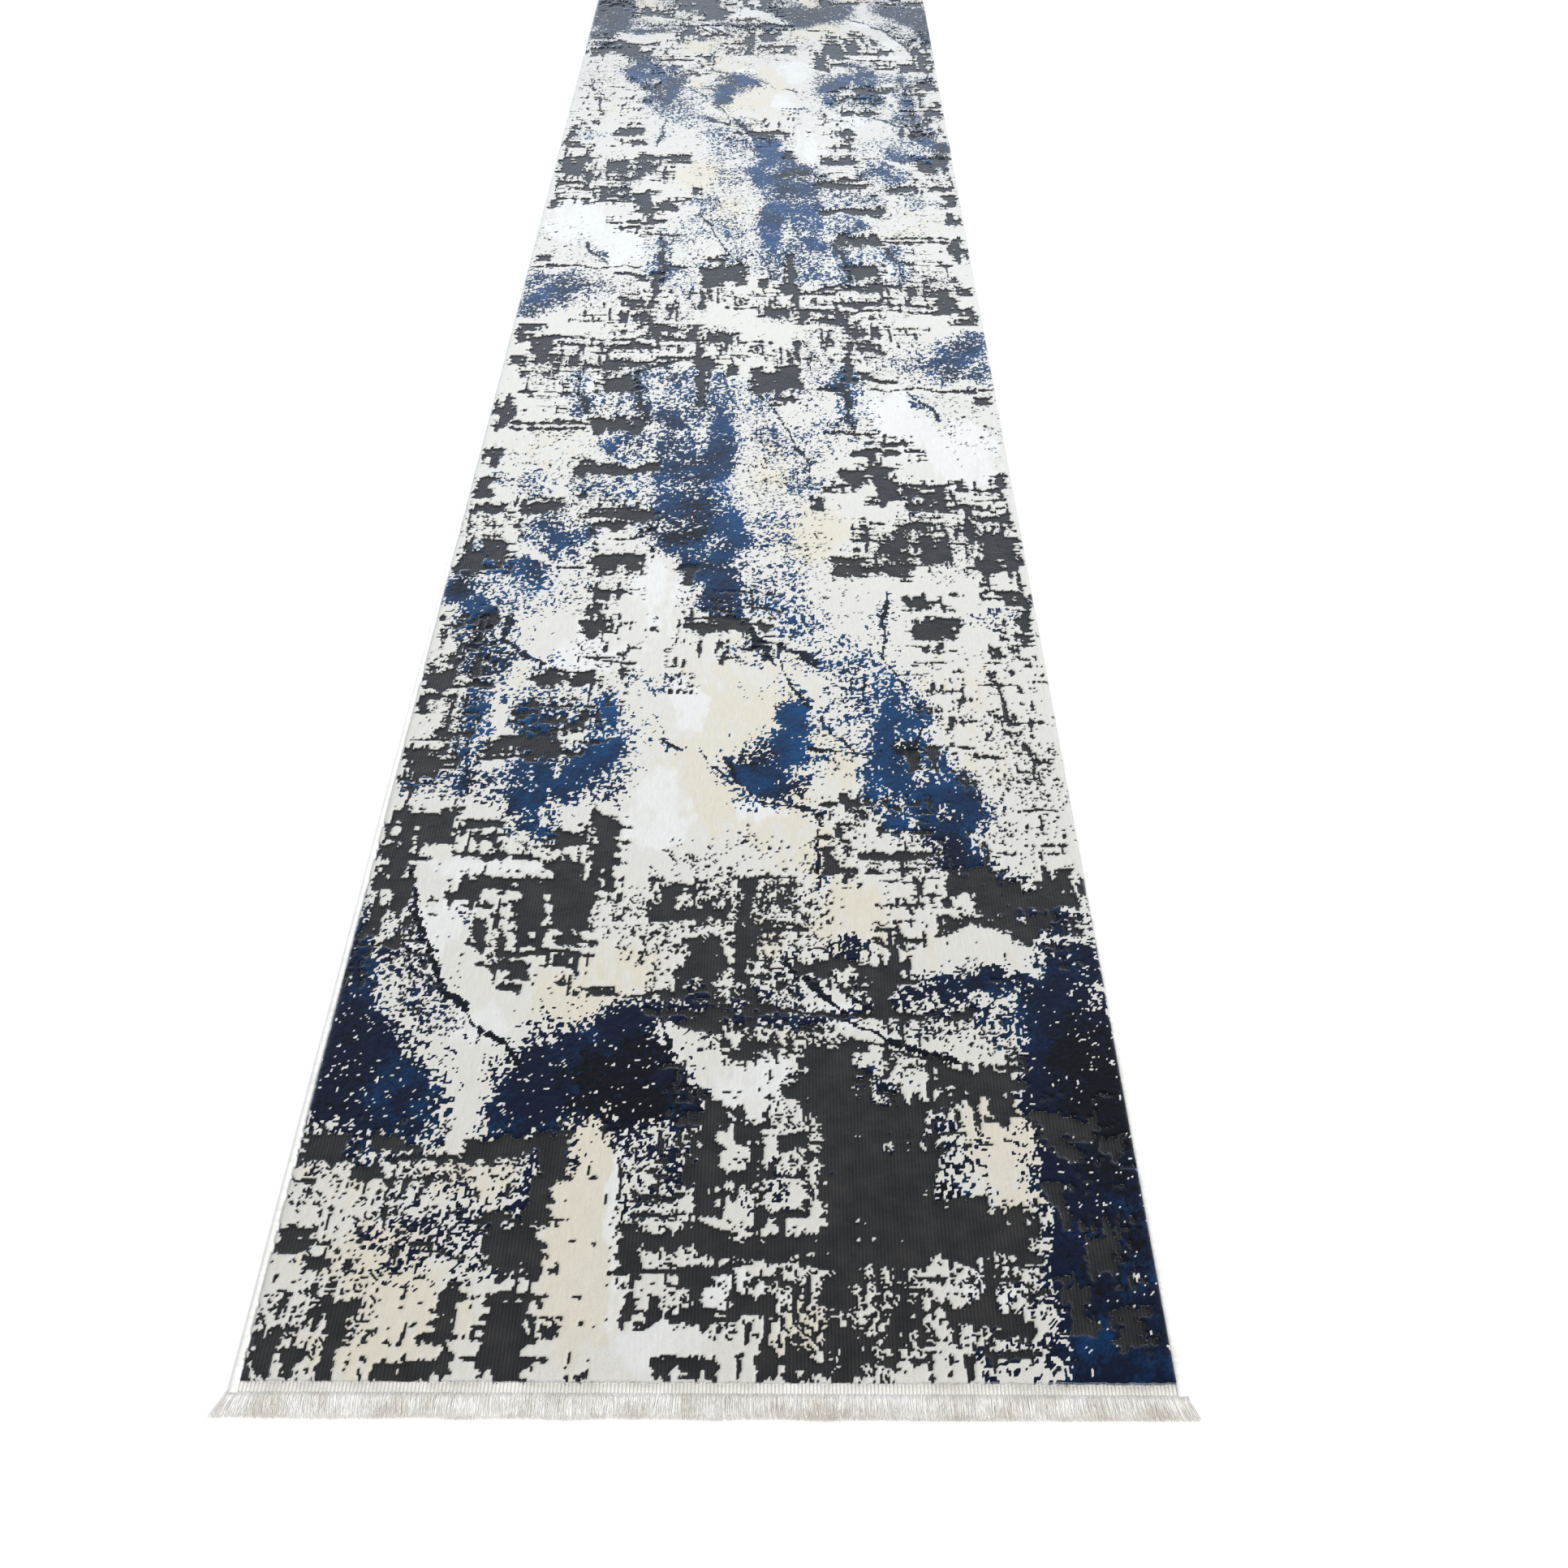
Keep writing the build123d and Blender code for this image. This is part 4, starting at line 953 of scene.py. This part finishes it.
def sergingPiece(name, y0, y1, side, seed):
    # a bar with a round outer side, slotted for the selvedge, carried along Y; its skin sinks between the
    # wrapped threads by a power of a sine, and each thread has a random thickness
    centreX, halfX = (beadLow.x + beadHigh.x) / 2, (beadHigh.x - beadLow.x) / 2
    centreZ, halfZ = (beadLow.z + beadHigh.z) / 2, (beadHigh.z - beadLow.z) / 2
    turn = np.radians(np.linspace(serging["openAngle"], -serging["openAngle"], serging["roundPoints"]))
    power = 2 / serging["squareness"]
    outX = halfX * np.sign(np.cos(turn)) * np.abs(np.cos(turn))**power
    outZ = halfZ * np.sign(np.sin(turn)) * np.abs(np.sin(turn))**power
    slotX = centreX - halfX + np.array([0.0002, serging["slotDepth"], serging["slotDepth"], 0.0002])
    slotLow, slotHigh = ground["tongueLow"] - serging["slotPlay"], ground["tongueHigh"] + serging["slotPlay"]
    slotZ = np.array([slotLow, slotLow, slotHigh, slotHigh])
    profileX = np.concatenate([centreX + outX, slotX])
    profileZ = np.concatenate([centreZ + outZ, slotZ])
    rows = np.linspace(y0, y1, int(round((y1 - y0) / serging["step"])) + 1)
    around = np.concatenate([np.linspace(0, 1, len(turn)), np.zeros(4)])
    skin = np.concatenate([np.ones(len(turn)), np.zeros(4)])
    skin[[0, len(turn) - 1]] = 0.3
    phase = rows[:, None] / serging["wrapPitch"] + serging["slant"] * around[None, :] * side
    wraps = np.abs(np.sin(np.pi * phase))**0.7
    rng = np.random.default_rng(seed)
    thick = rng.uniform(0.6, 1.0, int(np.ceil(phase.max() - phase.min())) + 3)
    wraps = wraps * thick[(np.floor(phase) - np.floor(phase.min())).astype(int)]
    sway = serging["sway"] * (valueNoise(rows[:, None], np.zeros((len(rows), 1)), 0.05, 1.0, seed + 1) - 0.5)
    depth = (wraps - 1.0) * serging["wrapDepth"] * skin
    facing = np.concatenate([turn, np.zeros(4)])
    offsets = np.zeros((len(rows), len(profileX), 3))
    offsets[:, :, 0] = (depth * np.cos(facing) + sway * skin) * side
    offsets[:, :, 2] = depth * np.sin(facing)
    piece = sweptPiece(name, profileX * side, profileZ, rows, offsets)
    if side > 0:
        piece.data.flip_normals()
    shadeOf = np.repeat(rng.random(len(rows) // 3 + 2), 3)[:len(rows)]
    addNumbers(piece, "thread", np.repeat(shadeOf, len(profileX)))
    return piece

def threadMaterial(name, base, dark, scale, sheen, roughness=0.7, ribPitch=0.0, fibreShare=0.5,
                   patchShare=0.3):
    # spun yarn: fine light and dark fibres, a tone of its own for each thread, and painted shade in the grooves if
    # ribbed
    material, tree, shader = newMaterial(name, roughness, sheen=sheen, sheenRoughness=0.35)
    place = addNode(tree, "ShaderNodeTexCoord", {}).outputs["Object"]
    thread = addNode(tree, "ShaderNodeAttribute", {}, attribute_name="thread").outputs["Fac"]
    fibre = noiseOf(tree, stretched(tree, place, scale), 1.0, 3.0, 0.6)
    patch = noiseOf(tree, place, 45.0, 2.0)
    amount = mathOf(tree, "MULTIPLY_ADD", thread, 0.4, rangeOf(tree, fibre, 0.35, 0.65, 0.0, fibreShare))
    amount = mathOf(tree, "ADD", amount, rangeOf(tree, patch, 0.4, 0.65, 0.0, patchShare))
    if ribPitch:
        across = addNode(tree, "ShaderNodeSeparateXYZ", {"Vector": place}).outputs["X"]
        wave = mathOf(tree, "COSINE", mathOf(tree, "MULTIPLY", across, np.pi / ribPitch))
        rib = mathOf(tree, "ABSOLUTE", wave)
        # painted shade: darker where the rib wave is low, in the grooves between the band's ribs
        amount = mathOf(tree, "ADD", amount, rangeOf(tree, rib, 0.15, 0.7, 0.9, 0.0))
    colours = mixOf(tree, amount, base, dark)
    finishShader(tree, shader, colours, fibre, 0.0003, 0.7)
    return material

print("making the serged edges")
sergingYarn = threadMaterial(
    "sergingYarn", colour(252, 252, 250), colour(222, 220, 214), (2600.0, 900.0, 2600.0), 0.25)
edgeCuts = np.linspace(-bandEnd, bandEnd, ground["cuts"] + 1)
sergingPieces = []
for sideName, side in (("left", -1), ("right", 1)):
    for number, (name, y0, y1) in enumerate(zip(cutNames, edgeCuts[:-1], edgeCuts[1:])):
        piece = sergingPiece(f"{sideName}Serging{name}", y0, y1, side, 200 + 10 * side + number)
        piece.data.materials.append(sergingYarn)
        bodies = rideThird(piece, y0, y1)
        replaceNodes(piece, bodies, sideName + "_serging")
        sergingPieces.append(piece)

# End bands and their stitches
band = {
    "ribPitch": 0.0032,
    "ribHeight": 0.0004,
    "columnsPerRib": 6,
    "rows": 9,
    "weft": 0.0017,
    "weftHeight": 0.00012,
    "endDrop": 0.0003,
    "endWidth": 0.002,
    "stitchPitch": 0.008,
    "stitchLength": 0.0046,
    "stitchRadius": 0.0003,
    "stitchInset": 0.003,
}

def bandPiece(name, side):
    # a ribbed strip: rounded ribs along Y, each with a fine wave where the weft passes over it, and an outer
    # edge that is pressed down a little
    ribs = int(round(2 * halfPile / band["ribPitch"]))
    columns = np.linspace(-halfPile, halfPile, ribs * band["columnsPerRib"] + 1)
    lines = np.linspace(pileEnd, bandEnd, band["rows"])
    x, y = np.meshgrid(columns, lines)
    rib = np.abs(np.cos(np.pi * x / (2 * halfPile) * ribs))**0.8
    swell = 0.75 + 0.5 * (valueNoise(x, y, band["ribPitch"], 0.004, 301) - 0.5)
    weft = 0.5 + 0.5 * np.cos(2 * np.pi * y / band["weft"] + np.pi * np.floor(x / (2 * halfPile) * ribs))
    z = bandTop - band["ribHeight"] - 0.0002 + (band["ribHeight"] * swell + band["weftHeight"] * weft) * rib
    z = z - band["endDrop"] * np.clip((y - bandEnd + band["endWidth"]) / band["endWidth"], 0, 1)**2
    piece = slabPiece(name, x, y * side, z, groundTop)
    if side < 0:
        piece.data.flip_normals()
    return piece

def stitchPiece(name, side):
    # one row of short threads, each arched over the ribs with its two ends pushed down into the band
    count = int((2 * halfPile - 0.02) / band["stitchPitch"])
    rng = np.random.default_rng(321 + side)
    centres = (np.arange(count) - (count - 1) / 2) * band["stitchPitch"]
    t = np.linspace(-1, 1, 7)
    lines = np.zeros((count, len(t), 3))
    lines[:, :, 0] = centres[:, None] + t * band["stitchLength"] / 2 * side
    shift = rng.normal(0, 0.00015, (count, 1))
    slant = rng.normal(0, 0.0002, (count, 1))
    lines[:, :, 1] = side * (pileEnd + band["stitchInset"]) + shift + t * slant
    lines[:, :, 2] = bandTop + 0.00012 - 0.0006 * t**4
    radius = np.full((count, len(t)), band["stitchRadius"])
    return tubeBundle(name, lines, radius, 6)

def tuftTips(name, side):
    # loose tufts at the end of the pile: short tapered threads that rise from the last rows and lean over
    # the band, each in the yarn colour of the place it grows from
    rng = np.random.default_rng(341 + side)
    count = pile["tipTufts"]
    rootX = rng.uniform(-halfPile + 0.0005, halfPile - 0.0005, count)
    inset = rng.uniform(0.0, 0.0035, count)
    rows, columns = nearestTuft(rootX, side * (pileEnd - inset))
    top = surfaceZ[rows, columns][:, None]
    t = np.linspace(0, 1, pile["tipSteps"])[None, :]
    length = rng.uniform(0.0035, 0.0062, (count, 1))
    lean = rng.uniform(0.35, 1.0, (count, 1))
    lines = np.zeros((count, pile["tipSteps"], 3))
    lines[:, :, 0] = rootX[:, None] + rng.normal(0, 0.0007, (count, 1)) * t
    lines[:, :, 1] = side * (pileEnd - inset[:, None] + length * lean * t**1.4)
    rise = top - 0.0024 + 0.0026 * t - 0.0022 * lean * t**2.2
    lines[:, :, 2] = np.minimum(rise, highTop - 0.0004)
    radius = pile["tipRadius"] * rng.uniform(0.7, 1.1, (count, 1)) * (1 - 0.6 * t**3)
    piece = tubeBundle(name, lines, radius, pile["tipSides"])
    pointsEach = pile["tipSteps"] * pile["tipSides"]
    for layer, channels in (("yarns", yarnChannels), ("washes", washChannels)):
        addColours(piece, layer, np.repeat(channels[rows, columns], pointsEach, axis=0))
    piece.data.materials.append(cutPile)
    return piece

print("making the end bands")
bandYarn = threadMaterial(
    "bandYarn", colour(246, 244, 239), colour(190, 186, 178), (1500.0, 700.0, 1500.0), 0.2,
    ribPitch=band["ribPitch"])
stitchThread = threadMaterial(
    "stitchThread", colour(246, 245, 241), colour(214, 211, 204), (1200.0, 3000.0, 3000.0), 0.2)

# Fringe
fringe = {
    "strands": 4000,
    "steps": 5,
    "sides": 3,
    "radius": 0.00034,
    "squeeze": 0.7,  # how flat a strand is
    "flare": 0.0085,
    "flareFrom": 0.36,
    "flareWidth": 0.04,
    "clump": 0.011,
    "tuckIn": 0.0012,  # how far a strand starts inside the band
    "innerColumns": 640,
    "innerRows": 8,
}

def noiseAlong(places, cell, seed):
    # the value noise at places on one line
    return valueNoise(places[None, :], np.zeros((1, len(places))), cell, 1.0, seed)[0]

def cornerFlare(x):
    # how far the fringe spreads outwards: the square of the way into each corner, and nothing between them
    way = np.clip((np.abs(x) - fringe["flareFrom"]) / fringe["flareWidth"], 0, 1)
    return fringe["flare"] * np.sign(x) * way**2

def strandLines(side, seed):
    # each strand leaves the band, falls to the floor as a smooth step and runs out to a straight cut; its
    # sideways drift is a slow lean, a pull to the middle of its clump and a flare that grows at the corners
    rng = np.random.default_rng(seed)
    count = fringe["strands"]
    rootX = np.linspace(-beadHigh.x, beadHigh.x, count) + rng.normal(0, 0.0006, count)
    layer = rng.random(count)
    clumpCount = int(2 * beadHigh.x / fringe["clump"])
    clumpEdge = np.linspace(-beadHigh.x, beadHigh.x, clumpCount + 1) + rng.normal(0, 0.002, clumpCount + 1)
    whichClump = np.clip(np.searchsorted(clumpEdge, rootX) - 1, 0, clumpCount - 1)
    clumpX = ((clumpEdge[:-1] + clumpEdge[1:]) / 2)[whichClump]
    clumpLean = rng.normal(0, 0.0007, clumpCount)[whichClump]
    slow = 0.006 * (noiseAlong(rootX, 0.09, seed + 1) - 0.5)
    pull = 0.05 * (clumpX - rootX)
    drift = clumpLean + slow + cornerFlare(rootX) + pull + rng.normal(0, 0.0013, count)
    reach = (fringeEnd - bandEnd) * (0.975 + 0.05 * rng.random(count))
    reach = reach + 0.0024 * (noiseAlong(rootX, 0.03, seed + 2) - 0.5)
    t = np.linspace(0, 1, fringe["steps"])[None, :]
    lines = np.zeros((count, fringe["steps"], 3))
    bow = rng.normal(0, 0.0006, (count, 1)) * np.sin(np.pi * t)
    lines[:, :, 0] = rootX[:, None] + drift[:, None] * t**1.3 + bow
    lines[:, :, 1] = side * (bandEnd - fringe["tuckIn"] + (reach[:, None] + fringe["tuckIn"]) * t)
    fall = np.clip(t / 0.62, 0, 1)
    fall = fall * fall * (3 - 2 * fall)
    rootZ = groundTop + 0.0007 + 0.0005 * layer[:, None]
    tipZ = 0.0023 + 0.0006 * layer[:, None] + 0.0003 * rng.random((count, 1))
    swell = 0.0012 * noiseAlong(rootX, 0.022, seed + 3)[:, None]
    arch = (swell + 0.0004 * layer[:, None]) * np.sin(np.pi * np.clip(t * 1.1, 0, 1))
    lines[:, :, 2] = rootZ + (tipZ - rootZ) * fall + arch
    radius = fringe["radius"] * rng.uniform(0.75, 1.2, (count, 1)) * (1 - 0.55 * t**3)
    ownShade = 0.2 * rng.random(count)
    clumpShade = 0.35 * rng.random(clumpCount)[whichClump]**2
    # the strand's tone is random for each strand and clump, and the lower strands get painted shade for lying
    # under those above
    return lines, radius, np.clip(ownShade + clumpShade + 0.1 * (1 - layer), 0, 1)

def fringeMat(name, side):
    # the dense inner yarn under the strands: a ribbed sheet that falls from the band to the floor
    columns = np.linspace(-beadHigh.x - 0.001, beadHigh.x + 0.001, fringe["innerColumns"])
    x, s = np.meshgrid(columns, np.linspace(0, 1, fringe["innerRows"]))
    fall = s * s * (3 - 2 * s)
    ribs = 0.00025 * (valueNoise(x, s, 0.0013, 3.0, 411 + side) - 0.5)
    z = (groundTop + 0.0007) * (1 - fall) + 0.0026 * fall + ribs
    flare = cornerFlare(x) * s**1.3
    y = side * (bandEnd - 0.001 + (fringeEnd - bandEnd - 0.0015) * s)
    piece = slabPiece(name, x + flare, y, z, 0.0002)
    if side < 0:
        piece.data.flip_normals()
    addNumbers(piece, "thread", np.full(len(piece.data.vertices), 0.15))
    return piece

print("making the fringes")
fringeYarn = threadMaterial(
    "fringeYarn", colour(255, 254, 251), colour(222, 214, 203), (2400.0, 260.0, 900.0), 1.0, 0.6,
    fibreShare=0.25, patchShare=0.6)
endPieces = {"near": [], "far": []}
for end, side in (("near", -1), ("far", 1)):
    bandStrip = bandPiece(end + "EndBand", side)
    addNumbers(bandStrip, "thread", np.full(len(bandStrip.data.vertices), 0.25))
    bandStrip.data.materials.append(bandYarn)
    stitches = stitchPiece(end + "EndStitching", side)
    addNumbers(stitches, "thread", np.full(len(stitches.data.vertices), 0.2))
    stitches.data.materials.append(stitchThread)
    lines, radius, shade = strandLines(side, 431 + side)
    strands = tubeBundle(end + "FringeStrands", lines, radius, fringe["sides"], fringe["squeeze"])
    addNumbers(strands, "thread", np.repeat(shade, fringe["steps"] * fringe["sides"]))
    strands.data.materials.append(fringeYarn)
    innerYarn = fringeMat(end + "FringeInnerYarn", side)
    innerYarn.data.materials.append(fringeYarn)
    tips = tuftTips(end + "PileTips", side)
    endRows = [
        (bandStrip, "end_band", "band_yarn"),
        (stitches, "end_stitching", "stitch_thread"),
        (strands, "fringe", "fringe_yarn"),
        (innerYarn, "fringe", "fringe_yarn"),
        (tips, "raised_pile", "ivory_yarn"),
    ]
    for piece, ending, slotName in endRows:
        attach(piece, end + "_third")
        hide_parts(f"{end}_{ending}")
        endPieces[end].append(piece)

# For each cut of the cloth, the pieces that lie on it are gathered in a list
for number, (piece, length) in enumerate(groundPieces):
    going = pilePieces[2 * number:2 * number + 2] + [coatPieces[number]]
    going = going + sergingPieces[number::ground["cuts"]]
    if number == 0:
        going = going + endPieces["near"]
    if number == ground["cuts"] - 1:
        going = going + endPieces["far"]

# Floor, light and camera
studio = {
    "floorSize": 24.0,
    "floorColour": colour(250, 250, 250),
    "world": 0.66,
    "sun": 2.0,
    "sunAngle": 14.0,
    "sunFrom": (0.62, -0.55, 0.72),
    "fill": 25.0,
    "fillSize": (1.4, 2.4),
    "fillColour": (0.84, 0.92, 1.0),
    "fillPlace": (0.0, 0.35, 1.6),
}

def floorPiece():
    half = studio["floorSize"] / 2
    points = np.array([[-half, -half, 0], [half, -half, 0], [half, half, 0], [-half, half, 0]])
    piece = makePiece("studioFloor", points, [np.array([[0, 1, 2, 3]])])
    material, tree, shader = newMaterial("paleFloor", 0.95)
    place = addNode(tree, "ShaderNodeTexCoord", {}).outputs["Object"]
    tone = rangeOf(tree, noiseOf(tree, place, 3.0), 0.3, 0.7, 0.995, 1.0)
    tree.links.new(shaded(tree, studio["floorColour"], tone), shader.inputs["Base Color"])
    piece.data.materials.append(material)

def addSun():
    sun = bpy.data.lights.new("keyLight", "SUN")
    sun.energy = studio["sun"]
    sun.angle = radians(studio["sunAngle"])
    light = bpy.data.objects.new("keyLight", sun)
    bpy.context.scene.collection.objects.link(light)
    x, y, z = studio["sunFrom"]
    flat = (x * x + y * y)**0.5
    light.rotation_euler = (np.arctan2(flat, z), 0, np.arctan2(x, -y))

def addFill():
    # a wide cool panel hung over the middle of the rug
    panel = bpy.data.lights.new("fillLight", "AREA")
    panel.shape = "RECTANGLE"
    panel.size, panel.size_y = studio["fillSize"]
    panel.energy = studio["fill"]
    panel.color = studio["fillColour"]
    light = bpy.data.objects.new("fillLight", panel)
    bpy.context.scene.collection.objects.link(light)
    light.location = studio["fillPlace"]

def addWorld():
    world = bpy.data.worlds.new("studioWorld")
    world.use_nodes = True
    background = world.node_tree.nodes["Background"]
    background.inputs["Color"].default_value = (1.0, 1.0, 1.0, 1.0)
    background.inputs["Strength"].default_value = studio["world"]
    bpy.context.scene.world = world

eye = {
    "lens": 32.69,
    "sensor": 36.0,
    "place": (0.05779, -2.19250, 1.21746),
    "turn": (43.2587, -0.3194, 0.1378),
}

def addCamera():
    data = bpy.data.cameras.new("studyCamera")
    data.lens = eye["lens"]
    data.sensor_width = eye["sensor"]
    data.clip_start = 0.05
    data.clip_end = 60.0
    camera = bpy.data.objects.new("studyCamera", data)
    bpy.context.scene.collection.objects.link(camera)
    camera.location = eye["place"]
    camera.rotation_euler = [radians(angle) for angle in eye["turn"]]
    bpy.context.scene.camera = camera

print("setting up the studio")
floorPiece()
addSun()
addFill()
addWorld()
addCamera()
bpy.context.scene.view_settings.view_transform = "Standard"
